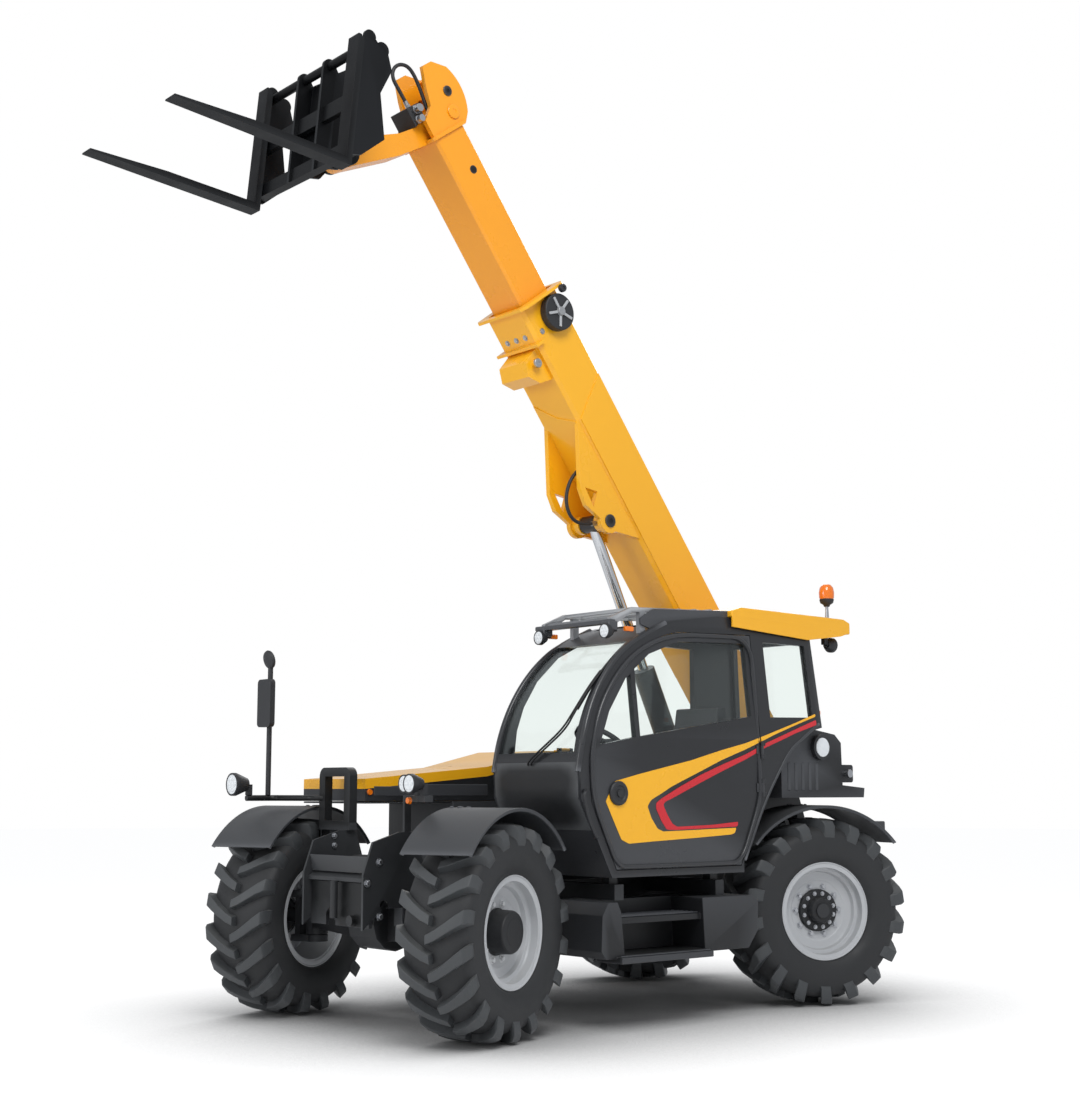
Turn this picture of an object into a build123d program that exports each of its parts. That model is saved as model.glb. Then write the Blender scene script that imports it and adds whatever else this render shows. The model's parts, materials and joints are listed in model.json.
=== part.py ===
"""Telehandler with a side cab, a two-stage boom and a fork carriage.

Millimetres, +X forward, +Y to the machine's left, +Z up. The origin is on the
ground under the middle of the machine's length and width. Stations marked
"from mid" are measured from the middle of the wheelbase.
"""
import os
from math import asin, atan2, cos, degrees, hypot, pi, radians, sin, sqrt, tan

from build123d import *

os.makedirs("parts", exist_ok=True)

# ---------------------------------------------------------------- driving sizes
mid_x = -545.0              # middle of the wheelbase, from the origin
wheelbase = 3130.0
track = 1990.0
pin_play = 0.05             # radial play of a pin in its bore
gap = 6.0                   # free gap round a moving piece

# wheels
tyre_radius = 655.0
tyre_width = 494.0
tread_radius = 608.0
shoulder_radius = 575.0
tyre_facets = 24
lug_count = 18              # on each side
lug_reach = 243.0           # from the tyre's middle towards its side
lug_thickness = 62.0
rim_radius = 343.0
rim_width = 388.0
rim_wall = 12.0
rim_seat = rim_radius - 40  # where the tyre's beads sit
disc_inset = 120.0          # wheel disc, in from the outer flange
disc_wall = 16.0
hub_radius = 150.0
front_steer = 20.0
rear_steer = -20.0

# axle ends and knuckles
kingpin_inset = 215.0       # kingpin axis, inboard of the tyre's middle
kingpin_radius = 30.0
boss_radius = 75.0
boss_half = 120.0
yoke_wall = 45.0
yoke_gap = 5.0
spindle_radius = 50.0
trumpet_half = 65.0
diff_radius = 175.0

# fenders
fender_radius = 730.0
fender_wall = 12.0
fender_span = 50.0          # degrees each side of the top
fender_half = 250.0

# chassis
rail_tail = 725.0           # rails run this far behind the rear axle
nose_reach = 395.0          # nose plates run this far ahead of the front axle
seam_reach = 115.0          # rails meet the nose plates this far behind the front axle
belly_reach = 385.0         # belly plate ends this far short of an axle
rail_y = 330.0              # inner face of a side rail
rail_wall = 20.0
rail_bottom = 500.0
rail_arch = 770.0           # underside of a rail over an axle
rail_top = 900.0
arm_z = 1430.0              # lamp arms, clear above the fenders
arm_wall = 40.0
nose_top = 1240.0
shelf_z = 985.0             # shelf between the nose plates
deck_z = 850.0              # floor plate under the towers
tie_down_reach = 235.0      # lashing hole ahead of the front axle
tie_down_z = 790.0
tie_down_radius = 30.0
tower_y = 240.0
tower_wall = 25.0

# boom
pivot_back = 335.0          # boom pivot behind the rear axle
pivot_x = mid_x - wheelbase / 2 - pivot_back
pivot_z = 1920.0
pivot_radius = 45.0
boom_angle = 53.3
outer_half = 200.0
outer_top = 190.0
outer_bottom = -215.0
outer_wall = 10.0
outer_rear = -250.0
outer_front = 3870.0
doubler_wall = 8.0
doubler_front = 2950.0      # doubler plates end here along the boom
inner_half = 170.0
inner_top = 140.0
inner_bottom = -165.0
inner_wall = 8.0
inner_rear = 1400.0
inner_front = 5160.0
collar_wall = 22.0
pad_play = 0.25             # wear pad to inner boom
nose_half = 85.0
cheek_wall = 35.0
hitch_t = 5380.0            # hitch pin, along the boom from its pivot
hitch_n = -860.0            # and square to the boom
hitch_radius = 40.0
valve_left = 124.0          # valve block on the nose: its left face, front, underside and top
valve_front = 5440.0
valve_low = -230.0
valve_high = -115.0
hose_radius = 13.0

# lift cylinder
lift_t = 2200.0             # upper pin, along the boom
lift_n = -385.0
lift_foot_reach = 165.0     # cylinder foot ahead of the rear axle
lift_foot_x = mid_x - wheelbase / 2 + lift_foot_reach
lift_foot_z = 1100.0
lift_pin_radius = 40.0
barrel_radius = 85.0
barrel_bore = 66.0
barrel_length = 1440.0
rod_radius = 40.0
rod_length = 1490.0
eye_radius = 62.0
eye_half = 80.0
ear_half = 190.0

# forks and carriage
fork_pitch = 5.6
fork_length = 1200.0
fork_width = 120.0
fork_thick = 50.0
fork_height = 895.0
fork_y = 557.0
hitch_back = 316.0          # hitch pin behind the shank's face
hitch_up = 340.0            # and above the blade's underside
carriage_half = 605.0

# cab
cab_left = 1150.0
cab_right = 270.0
cab_wall = 45.0
cab_floor = 950.0
cab_waist = 1850.0
step_top = 800.0            # top of the tank and step box
door_hinges = (1520.0, 1780.0)
door_sill = cab_floor + cab_wall + gap
door_bar = 365.0            # upright between the door window and its quarter light
cab_lean = 100.0            # how far the left side leans in at the roof
cab_roof_z = 2700.0
glass_inset = 15.0
glass_wall = 6.0

# engine side
hood_left = -360.0
hood_right = -1130.0
hood_rear = -1150.0
hood_reach = 95.0           # hood ends this far behind the front axle
hood_front = wheelbase / 2 - hood_reach
hood_floor = 1430.0
hood_wall = 12.0
hood_gap = 5.0
hood_hinges = (-950.0, -300.0)
body_floor = 620.0
body_mid = 20.0
body_length = 1430.0


# ---------------------------------------------------------------- frames
def side(y):
    """Upright plane along the machine: x from mid, z up; extrudes to the right."""
    return Plane(origin=(mid_x, y, 0), x_dir=(1, 0, 0), z_dir=(0, -1, 0))


def across(x):
    """Plane square to the machine at x from mid: y left, z up; extrudes forward."""
    return Plane(origin=(mid_x + x, 0, 0), x_dir=(0, 1, 0), z_dir=(1, 0, 0))


def level(z):
    """Level plane: x from mid, y left; extrudes up."""
    return Plane(origin=(mid_x, 0, z), x_dir=(1, 0, 0), z_dir=(0, 0, 1))


def boom_side(y):
    """Plane of the boom's side: t along the boom, n square to it; extrudes right."""
    along = (cos(radians(boom_angle)), 0, sin(radians(boom_angle)))
    return Plane(origin=(pivot_x, y, pivot_z), x_dir=along, z_dir=(0, -1, 0))


def boom_section(t):
    """Plane square to the boom at t: y left, n up; extrudes along the boom."""
    along = (cos(radians(boom_angle)), 0, sin(radians(boom_angle)))
    foot = boom_point(t, 0)
    return Plane(origin=(foot[0], 0, foot[1]), x_dir=(0, 1, 0), z_dir=along)


def boom_point(t, n):
    """(x, z) of a point given along and square to the boom."""
    a = radians(boom_angle)
    return (pivot_x + t * cos(a) - n * sin(a), pivot_z + t * sin(a) + n * cos(a))


def fork_side(y):
    """Plane of a fork's side: f along the blade, s up the shank; extrudes right."""
    along = (cos(radians(fork_pitch)), 0, sin(radians(fork_pitch)))
    return Plane(origin=(heel[0], y, heel[1]), x_dir=along, z_dir=(0, -1, 0))


def lift_side(y):
    """Plane of the lift cylinder's side: from its foot to its eye; extrudes right."""
    along = (cos(lift_angle), 0, sin(lift_angle))
    return Plane(origin=(lift_foot_x, y, lift_foot_z), x_dir=along, z_dir=(0, -1, 0))


def write(piece, name):
    """Label a finished piece and write its STEP file."""
    piece.label = name
    export_step(piece, f"parts/{name}.step")


hitch_pin = boom_point(hitch_t, hitch_n)
pitch = radians(fork_pitch)
heel = (
    hitch_pin[0] + hitch_back * cos(pitch) + hitch_up * sin(pitch),
    hitch_pin[1] + hitch_back * sin(pitch) - hitch_up * cos(pitch),
)
lift_head = boom_point(lift_t, lift_n)
lift_span = hypot(lift_head[0] - lift_foot_x, lift_head[1] - lift_foot_z)
lift_angle = atan2(lift_head[1] - lift_foot_z, lift_head[0] - lift_foot_x)
kingpin_y = track / 2 - kingpin_inset
axle_z = tyre_radius


# ---------------------------------------------------------------- wheel, drawn about its own centre
def ring_body(sections):
    """Faceted body of revolution about Y through (y, radius of the flats) sections."""
    with BuildPart() as body:
        for y, radius in sections:
            with BuildSketch(Plane.XZ.offset(-y)):
                RegularPolygon(radius=radius, side_count=tyre_facets, major_radius=False, rotation=180 / tyre_facets)
        loft(ruled=True)
    return body.part


tyre_half = tyre_width / 2
bead_half = rim_width / 2
carcass = ring_body([
    (-tyre_half, shoulder_radius - 80), (-tyre_half + 42, shoulder_radius), (0, tread_radius),
    (tyre_half - 42, shoulder_radius), (tyre_half, shoulder_radius - 80),
])
dish = ring_body([(bead_half, rim_radius + 1), (tyre_half + 1, rim_radius + 88)])
bead_hole = ring_body([(-tyre_half - 1, rim_seat + 0.3), (tyre_half + 1, rim_seat + 0.3)])
lug_root = 0.9 * shoulder_radius
lug_corner = 120 + lug_thickness / 2
lug_top = sqrt(tyre_radius**2 - lug_corner**2)
with BuildPart() as tyre:
    add(carcass)
    for turn, hand in [(360 / lug_count * (i + k / 2), 1 - 2 * k) for i in range(lug_count) for k in (0, 1)]:
        a = radians(turn) + atan2(lug_corner, lug_top)
        radial = (sin(a), 0, cos(a))
        seat = Plane(origin=(radial[0] * lug_root, 0, radial[2] * lug_root), x_dir=(cos(a), 0, -sin(a)), z_dir=radial)
        with BuildSketch(seat) as lug:
            with BuildLine():
                # swept-back bar from the tyre's middle to its shoulder
                Polyline((lug_thickness / 2, 0), (-lug_thickness / 2, 0), (-lug_corner, hand * -lug_reach),
                         (lug_thickness - lug_corner, hand * -lug_reach), close=True)
            make_face()
        extrude(amount=lug_top - lug_root)
    add(dish, mode=Mode.SUBTRACT)
    add(mirror(dish, about=Plane.XZ), mode=Mode.SUBTRACT)
    add(bead_hole, mode=Mode.SUBTRACT)

with BuildPart() as rim:
    half = rim_width / 2
    with BuildSketch(Plane.YZ) as well:
        with BuildLine():
            Polyline(
                (-half, rim_seat), (half, rim_seat), (half, rim_radius), (half + 8, rim_radius),
                (half + 8, rim_seat - rim_wall), (-half - 8, rim_seat - rim_wall), (-half - 8, rim_radius),
                (-half, rim_radius), close=True,
            )
        make_face()
    revolve(axis=Axis.Y)
    with BuildSketch(Plane.XZ.offset(-(half - disc_inset))) as disc:
        Circle(rim_seat - rim_wall)
        Circle(spindle_radius + pin_play, mode=Mode.SUBTRACT)
    extrude(amount=disc_wall)
    with BuildSketch(Plane.XZ.offset(-(half - disc_inset))) as hub:
        Circle(hub_radius)
        Circle(spindle_radius + pin_play, mode=Mode.SUBTRACT)
    extrude(amount=-disc_inset)
    with BuildSketch(Plane.XZ.offset(-half)) as cap:
        Circle(hub_radius - 25)
    extrude(amount=-14)

with BuildPart() as knuckle:
    # yoke arms above and below the axle's end, each with its kingpin
    for up in (1, -1):
        with BuildSketch(Plane.XY.offset(up * (boss_half + yoke_gap))) as arm:
            with Locations((0, -kingpin_inset)):
                Circle(boss_radius)
                with Locations((0, boss_radius + 15)):
                    Rectangle(2 * boss_radius, 2 * boss_radius)
        extrude(amount=up * yoke_wall)
        with BuildSketch(Plane.XY.offset(up * (boss_half + yoke_gap))) as kingpin:
            with Locations((0, -kingpin_inset)):
                Circle(kingpin_radius)
        extrude(amount=-up * 70)
    yoke_top = boss_half + yoke_gap + yoke_wall
    with BuildSketch(Plane.XZ.offset(kingpin_inset - boss_radius - 15)) as plate:
        Rectangle(2 * boss_radius, 2 * yoke_top)
    extrude(amount=-40)
    with BuildSketch(Plane.XZ.offset(kingpin_inset - boss_radius - 55)) as spindle:
        Circle(spindle_radius)
    extrude(amount=-(kingpin_inset - boss_radius - 55 + rim_width / 2 - 20))
    # fender post: inboard of the tyre, up to a curved saddle under the fender
    post_y = -tyre_width / 2 - 15
    with BuildSketch(Plane.XZ.offset(-post_y)) as post:
        with Locations((0, (yoke_top + fender_radius - 15) / 2 - 10)):
            Rectangle(90, fender_radius - 15 - yoke_top + 60)
    extrude(amount=14)
    with BuildSketch(Plane.XY.offset(boss_half + yoke_gap)) as shelf:
        with Locations((0, post_y + 10)):
            Rectangle(90, 48)
    extrude(amount=yoke_wall)
    with BuildSketch(Plane.XZ.offset(-post_y + 14)) as saddle:
        Circle(fender_radius - pin_play)
        Circle(fender_radius - 15, mode=Mode.SUBTRACT)
        with BuildLine():
            Polyline((0, 0), (-90, 900), (90, 900), close=True)
        make_face(mode=Mode.INTERSECT)
    extrude(amount=-130)

with BuildPart() as fender:
    with BuildSketch(Plane.XZ.offset(fender_half)) as arch:
        Circle(fender_radius + fender_wall)
        Circle(fender_radius, mode=Mode.SUBTRACT)
        reach = 1200
        with BuildLine():
            Polyline((0, 0), (-reach * sin(radians(fender_span)), reach * cos(radians(fender_span))), (0, reach),
                     (reach * sin(radians(fender_span)), reach * cos(radians(fender_span))), close=True)
        make_face(mode=Mode.INTERSECT)
    extrude(amount=-2 * fender_half)

# corner, x from mid, side, rest steer in degrees
CORNERS = [
    ("front_left", wheelbase / 2, 1, front_steer),
    ("front_right", wheelbase / 2, -1, front_steer),
    ("rear_left", -wheelbase / 2, 1, rear_steer),
    ("rear_right", -wheelbase / 2, -1, rear_steer),
]
for corner, station, hand, steer in CORNERS:
    kingpin_at = Location((mid_x + station, hand * kingpin_y, axle_z)) * Location((0, 0, 0), (0, 0, steer))
    place = kingpin_at * Location((0, hand * kingpin_inset, 0))
    for kind, body in (("tyre", tyre), ("rim", rim), ("knuckle", knuckle), ("fender", fender)):
        drawn = body.part if hand == 1 else mirror(body.part, about=Plane.XZ)
        write(drawn.moved(place), f"{corner}_{kind}")

# ---------------------------------------------------------------- axles
for name, station in (("front_axle", wheelbase / 2), ("rear_axle", -wheelbase / 2)):
    with BuildPart() as axle:
        # cast trumpets, deeper towards the housing
        with BuildSketch(across(station - trumpet_half)) as trumpets:
            with BuildLine():
                Polyline((kingpin_y, axle_z + 70), (140, axle_z + 110), (-140, axle_z + 110), (-kingpin_y, axle_z + 70),
                         (-kingpin_y, axle_z - 70), (-140, axle_z - 110), (140, axle_z - 110), (kingpin_y, axle_z - 70),
                         close=True)
            make_face()
        extrude(amount=2 * trumpet_half)
        with BuildSketch(side(150)) as housing:
            with Locations((station, axle_z)):
                RegularPolygon(radius=diff_radius, side_count=12)
        extrude(amount=300)
        for hand in (1, -1):
            with BuildSketch(level(axle_z - boss_half)) as boss:
                with Locations((station, hand * kingpin_y)):
                    Circle(boss_radius)
            extrude(amount=2 * boss_half)
        for hand in (1, -1):
            for up in (1, -1):
                with BuildSketch(level(axle_z + up * boss_half)) as bore:
                    with Locations((station, hand * kingpin_y)):
                        Circle(kingpin_radius + pin_play)
                extrude(amount=-up * 75, mode=Mode.SUBTRACT)
        # seats that carry the side rails
        for hand in (1, -1):
            with BuildSketch(side(hand * (rail_y + rail_wall / 2) + 45)) as seat:
                with Locations((station, (axle_z + rail_arch) / 2)):
                    Rectangle(240, rail_arch - axle_z)
            extrude(amount=90)
    write(axle.part, name)

# ---------------------------------------------------------------- chassis
front_x = wheelbase / 2
rear_x = -wheelbase / 2
tail_x = rear_x - rail_tail
nose_x = front_x + nose_reach
seam_x = front_x - seam_reach
belly_half = front_x - belly_reach
tower_front = rear_x + 5
tower_rear = tail_x + 10
tower_top = (rear_x - pivot_back, pivot_z)
foot_x = rear_x + lift_foot_reach
with BuildPart() as chassis_frame:
    # side rails, arched over both axles
    for hand in (1, -1):
        with BuildSketch(side(hand * (rail_y + rail_wall / 2) + rail_wall / 2)) as rail:
            with BuildLine():
                Polyline((tail_x, 620), (rear_x - 495, 620), (rear_x - 240, rail_arch), (rear_x + 240, rail_arch),
                         (-belly_half, rail_bottom), (belly_half, rail_bottom), (front_x - 240, rail_arch),
                         (seam_x, rail_arch), (seam_x, rail_top), (rear_x + 265, rail_top), (rear_x + 65, 1150),
                         (tail_x, 1150), close=True)
            make_face()
        extrude(amount=rail_wall)
    # cross plates between the rails: station, top
    for station, top in [(-belly_half - 10, rail_top), (0, rail_top - 60), (belly_half - 10, rail_top)]:
        with BuildSketch(across(station)) as cross:
            with Locations((0, (rail_bottom + top) / 2)):
                Rectangle(2 * rail_y, top - rail_bottom)
        extrude(amount=20)
    # belly plate
    with BuildSketch(level(rail_bottom)) as belly:
        Rectangle(2 * belly_half, 2 * rail_y)
    extrude(amount=14)
    # hood hinge posts on the right-hand rail
    for station in hood_hinges:
        for foot in (station - 71, station + 41):
            with BuildSketch(across(foot)) as post:
                with Locations((hood_left + 20, (rail_top + 1790) / 2)):
                    Rectangle(20, 1790 - rail_top)
                with Locations((hood_left + 15, 1796)):
                    Rectangle(24, 12)
                with Locations((hood_left + 15, 1802)):
                    Circle(12)
            extrude(amount=30)
        with BuildSketch(across(station - 75)) as bore:
            with Locations((hood_left + 15, 1802)):
                Circle(5 + pin_play)
        extrude(amount=150, mode=Mode.SUBTRACT)
    # outriggers and rubber-mount pads under the cab
    for station in (-480, 450):
        with BuildSketch(across(station - 40)) as outrigger:
            with Locations(((rail_y + rail_wall + 1050) / 2, (step_top + rail_top) / 2)):
                Rectangle(1050 - rail_y - rail_wall, rail_top - step_top)
        extrude(amount=80)
        with BuildSketch(level(rail_top)) as mounts:
            with Locations((station, 420), (station, 960)):
                Rectangle(70, 70)
        extrude(amount=cab_floor - rail_top)
write(chassis_frame.part, "chassis_frame")

with BuildPart() as nose_plates:
    # one at the front end of each rail, with its lashing hole
    for hand in (1, -1):
        with BuildSketch(side(hand * (rail_y + rail_wall / 2) + rail_wall / 2)) as nose:
            with BuildLine():
                Polyline((seam_x, rail_arch), (front_x + 240, rail_arch), (nose_x, 640), (nose_x, 980), (nose_x - 70, 1180),
                         (nose_x - 270, nose_top), (nose_x - 400, nose_top), (seam_x, rail_top), close=True)
            make_face()
            with Locations((front_x + tie_down_reach, tie_down_z)):
                Circle(tie_down_radius, mode=Mode.SUBTRACT)
        extrude(amount=rail_wall)
write(nose_plates.part, "nose_plates")

with BuildPart() as nose_crossmember:
    # shelf bent down into the towing plate, with a lip along the bend, a notch and the drawbar pin
    with BuildSketch(side(rail_y)) as bent:
        with BuildLine():
            Polyline((nose_x - 340, shelf_z), (nose_x - 84, shelf_z), (nose_x - 34, shelf_z - 30), (nose_x - 34, shelf_z - 54),
                     (nose_x - 60, shelf_z - 62), (nose_x - 60, 650), (nose_x - 84, 650), (nose_x - 84, shelf_z - 25),
                     (nose_x - 340, shelf_z - 25), close=True)
        make_face()
    extrude(amount=2 * rail_y)
    with BuildSketch(across(nose_x - 90)) as notch:
        with Locations((-100, 650)):
            RectangleRounded(110, 220, 50)
    extrude(amount=60, mode=Mode.SUBTRACT)
    with BuildSketch(across(nose_x - 70)) as boss:
        with Locations((160, 690)):
            Circle(34)
    extrude(amount=45)
    with BuildSketch(level(700)) as drawbar_pin:
        with Locations((nose_x - 15, 0)):
            Circle(25)
    extrude(amount=230)
write(nose_crossmember.part, "nose_crossmember")

with BuildPart() as boom_towers:
    # upright plates that carry the boom, with webs out to the rails
    for hand in (1, -1):
        with BuildSketch(side(hand * (tower_y + tower_wall / 2) + tower_wall / 2)) as tower:
            with BuildLine():
                Polyline((tower_top[0] + 130, pivot_z), (tower_front, 1250), (tower_front, 800), (tower_rear, 800),
                         (tower_rear, 1250), (tower_top[0] - 130, pivot_z))
                ThreePointArc((tower_top[0] - 130, pivot_z), (tower_top[0], pivot_z + 130), (tower_top[0] + 130, pivot_z))
            make_face()
        extrude(amount=tower_wall)
        for station in (tower_rear, tower_front - 20):
            with BuildSketch(across(station)) as web:
                with Locations((hand * (tower_y + rail_y) / 2, 975)):
                    Rectangle(rail_y - tower_y, 350)
            extrude(amount=20)
        # lift cylinder foot ears
        with BuildSketch(side(hand * 110 + 12.5)) as foot:
            with BuildLine():
                Polyline((foot_x + 90, lift_foot_z), (foot_x + 150, deck_z), (foot_x - 150, deck_z), (foot_x - 90, lift_foot_z))
                ThreePointArc((foot_x - 90, lift_foot_z), (foot_x, lift_foot_z + 90), (foot_x + 90, lift_foot_z))
            make_face()
        extrude(amount=25)
    # deck between the rails, up to the first cross plate, and the plate across their tail
    deck_front = -belly_half - 10
    with BuildSketch(level(deck_z)) as deck:
        with Locations(((tower_rear + deck_front) / 2, 0)):
            Rectangle(deck_front - tower_rear, 2 * rail_y)
    extrude(amount=20)
    with BuildSketch(across(tail_x + 20)) as tail_plate:
        with Locations((0, 870)):
            Rectangle(2 * rail_y, 460)
    extrude(amount=30)
    # boom pivot pin and lift foot pin, fixed in their plates
    with BuildSketch(side(tower_y + tower_wall + 12)) as pivot_pin:
        with Locations(tower_top):
            Circle(pivot_radius)
    extrude(amount=2 * (tower_y + tower_wall + 12))
    with BuildSketch(side(134)) as foot_pin:
        with Locations((foot_x, lift_foot_z)):
            Circle(lift_pin_radius)
    extrude(amount=268)
write(boom_towers.part, "boom_towers")

with BuildPart() as nose_lip:
    # upstand along the shelf's front edge
    with BuildSketch(side(rail_y)) as upstand:
        with BuildLine():
            Polyline((nose_x - 84, shelf_z), (nose_x - 62, shelf_z + 105), (nose_x - 40, shelf_z + 105), (nose_x - 62, shelf_z),
                     close=True)
        make_face()
    extrude(amount=2 * rail_y)
write(nose_lip.part, "nose_lip")

with BuildPart() as boom_rest:
    # rubber pad on the shelf, just under the lowered boom
    with BuildSketch(level(shelf_z)) as pad:
        with Locations((nose_x - 270, 0)):
            Rectangle(100, 220)
    extrude(amount=102)
write(boom_rest.part, "boom_rest")

# ---------------------------------------------------------------- rear end
with BuildPart() as rear_weight:
    with BuildSketch(level(620)) as block:
        with Locations((tail_x - 85, 0)):
            Rectangle(170, 760)
    extrude(amount=560)
    with BuildSketch(level(1140)) as beam:
        with Locations((tail_x - 95, 0)):
            Rectangle(150, 1800)
    extrude(amount=130)
write(rear_weight.part, "rear_counterweight")

with BuildPart() as rear_body:
    with BuildSketch(side(1000)) as panel:
        with BuildLine():
            Polyline((-1180, 1450), (rear_x - 525, 1450), (rear_x - 535, 1520), (rear_x - 285, 1540), (rear_x - 275, 1850),
                     (rear_x - 205, 1910), (-1490, 1950), (-1470, 1950), (-1340, 1920), (-1180, 1822.6), close=True)
        make_face()
    extrude(amount=1000 - tower_y - tower_wall)
    # coupling box at the corner
    with BuildSketch(side(1000)) as coupling:
        with Locations((rear_x - 335, 1625)):
            RectangleRounded(140, 130, 20)
    extrude(amount=110)
write(rear_body.part, "rear_body")

# ---------------------------------------------------------------- engine side
body_left = -rail_y - rail_wall
with BuildPart() as engine_block:
    with BuildSketch(level(body_floor + hood_wall)) as block:
        with Locations((body_mid, (body_left + hood_right) / 2)):
            Rectangle(body_length - 180, body_left - hood_right - 220)
    extrude(amount=hood_floor - body_floor - 50)
write(engine_block.part, "engine_block")

with BuildPart() as side_body:
    # sheet body round the engine, open on top, and the tray that the hood closes on
    with BuildSketch(level(body_floor)) as foot:
        with Locations((body_mid, (body_left + hood_right) / 2)):
            Rectangle(body_length, body_left - hood_right)
    extrude(amount=hood_floor - hood_gap - body_floor)
    with BuildSketch(level(hood_floor - hood_gap - hood_wall)) as tray:
        with Locations(((hood_front + hood_rear) / 2, (hood_left + hood_right) / 2)):
            Rectangle(hood_front - hood_rear, hood_left - hood_right)
    extrude(amount=hood_wall)
    with BuildSketch(level(body_floor + hood_wall)) as room:
        with Locations((body_mid, (body_left + hood_right) / 2)):
            Rectangle(body_length - 2 * hood_wall, body_left - hood_right - 2 * hood_wall)
    extrude(amount=hood_floor - body_floor, mode=Mode.SUBTRACT)
write(side_body.part, "side_body")


def hood_form(inset, foot):
    """Solid under the engine hood's skin, drawn in by inset."""
    with BuildPart() as form:
        with BuildSketch(side(hood_left - inset)) as profile:
            with BuildLine():
                Polyline((hood_front - inset, foot), (hood_front - inset, 1580 - inset), (420, 1670 - inset),
                         (-100, 1790 - inset), (hood_rear + inset, 1790 - inset), (hood_rear + inset, foot), close=True)
            make_face()
        extrude(amount=hood_left - hood_right - 2 * inset)
    return form.part


hood_axis_y = hood_left + 15
hood_axis_z = 1790.0 + 12
hood_shell = hood_form(0, hood_floor)
hood_room = hood_form(hood_wall, hood_floor - 50)
with BuildPart() as engine_hood:
    add(hood_shell)
    add(hood_room, mode=Mode.SUBTRACT)
    for station in hood_hinges:
        with BuildSketch(across(station - 40)) as barrel:
            with Locations((hood_axis_y, hood_axis_z)):
                Circle(12)
            with Locations((hood_axis_y - 40, hood_axis_z - 8)):
                Rectangle(80, 8)
        extrude(amount=80)
        with BuildSketch(across(station - 70)) as pin:
            with Locations((hood_axis_y, hood_axis_z)):
                Circle(5)
        extrude(amount=140)
write(engine_hood.part, "engine_hood")

guard_x = front_x + 10
guard_outer = 670.0         # outer edge of the frame, clear of the steered fender
guard_inner = 300.0
guard_mid = -(guard_outer + guard_inner) / 2
guard_top = 1655.0
with BuildPart() as front_guard:
    # upright frame on the right-hand nose plate, ahead of the engine side, with an arm for mirror and lamp
    with BuildSketch(across(guard_x)) as frame:
        with Locations((guard_mid, (nose_top + guard_top) / 2)):
            RectangleRounded(guard_outer - guard_inner, guard_top - nose_top, 60)
            Rectangle(guard_outer - guard_inner - 140, guard_top - nose_top - 120, mode=Mode.SUBTRACT)
        with Locations((guard_mid, nose_top + 25)):
            Rectangle(guard_outer - guard_inner, 50)
    extrude(amount=60)
    with BuildLine(level(arm_z + arm_wall / 2)) as right_arm:
        FilletPolyline((guard_x + 30, -630), (guard_x + 110, -690), (1790, -1000), (2010, -1000), radius=70)
    with BuildSketch(Plane(origin=right_arm.line @ 0, z_dir=right_arm.line % 0)) as tube:
        Circle(arm_wall / 2)
    sweep()
    # post and arm on the left-hand nose plate
    with BuildSketch(level(nose_top)) as post:
        with Locations((guard_x + 50, rail_y + rail_wall / 2)):
            Rectangle(50, rail_wall)
    extrude(amount=arm_z + arm_wall - nose_top)
    with BuildSketch(level(arm_z)) as left_arm:
        with BuildLine():
            Polyline((guard_x + 25, 330), (guard_x + 75, 330), (guard_x + 75, 400), (1850, 760), (1850, 840), (1790, 840),
                     (guard_x + 25, 420), close=True)
        make_face()
    extrude(amount=arm_wall)
write(front_guard.part, "front_guard")

# ---------------------------------------------------------------- cab
def cab_section(inset):
    """Long prism with the cab's cross-section, drawn in by inset."""
    with BuildPart() as form:
        with BuildSketch(across(-1700)) as section:
            with BuildLine():
                Polyline((cab_right, cab_floor), (cab_left, cab_floor), (cab_left, cab_waist),
                         (cab_left - cab_lean, cab_roof_z), (cab_right, cab_roof_z), close=True)
            make_face()
            if inset:
                offset(amount=-inset, kind=Kind.INTERSECTION)
        extrude(amount=2800)
    return form.part


def cab_form(inset):
    """Solid under the cab's skin, drawn in by inset."""
    section = cab_section(inset)
    with BuildPart() as form:
        with BuildSketch(side(cab_left)) as profile:
            with BuildLine():
                Polyline((-620, 1020), (-620, cab_floor), (600, cab_floor), (860, 1450), (870, 1680))
                ThreePointArc((870, 1680), (560, 2300), (-60, 2640))
                Polyline((-60, 2640), (-500, cab_roof_z), (-1440, cab_roof_z - 30), (-1470, 1950), (-1340, 1920), (-1110, 1780),
                         (-850, 1440), (-620, 1020))
            make_face()
            if inset:
                offset(amount=-inset, kind=Kind.INTERSECTION)
        extrude(amount=cab_left - cab_right)
        add(section, mode=Mode.INTERSECT)
    return form.part


def door_outline(inset):
    """The cab door's outline (x from mid, z), drawn in by inset."""
    with BuildSketch() as outline:
        with BuildLine():
            Polyline((-800, 2580), (-800, 1450), (-590, door_sill), (560, door_sill), (770, 1430), (790, 1690))
            ThreePointArc((790, 1690), (505, 2240), (-90, 2560))
            Line((-90, 2560), (-800, 2580))
        make_face()
        if inset:
            offset(amount=-inset, kind=Kind.INTERSECTION)
    return outline.sketch


def prism(sketch, plane, depth):
    """Solid pushed out of a flat sketch laid on a plane."""
    with BuildPart() as solid:
        with BuildSketch(plane):
            add(sketch)
        extrude(amount=depth)
    return solid.part


def window(plane, points, depth):
    """Prism through a wall, from a closed outline on a plane."""
    with BuildPart() as solid:
        with BuildSketch(plane):
            with BuildLine():
                Polyline(*points, close=True)
            make_face()
        extrude(amount=depth)
    return solid.part


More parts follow.
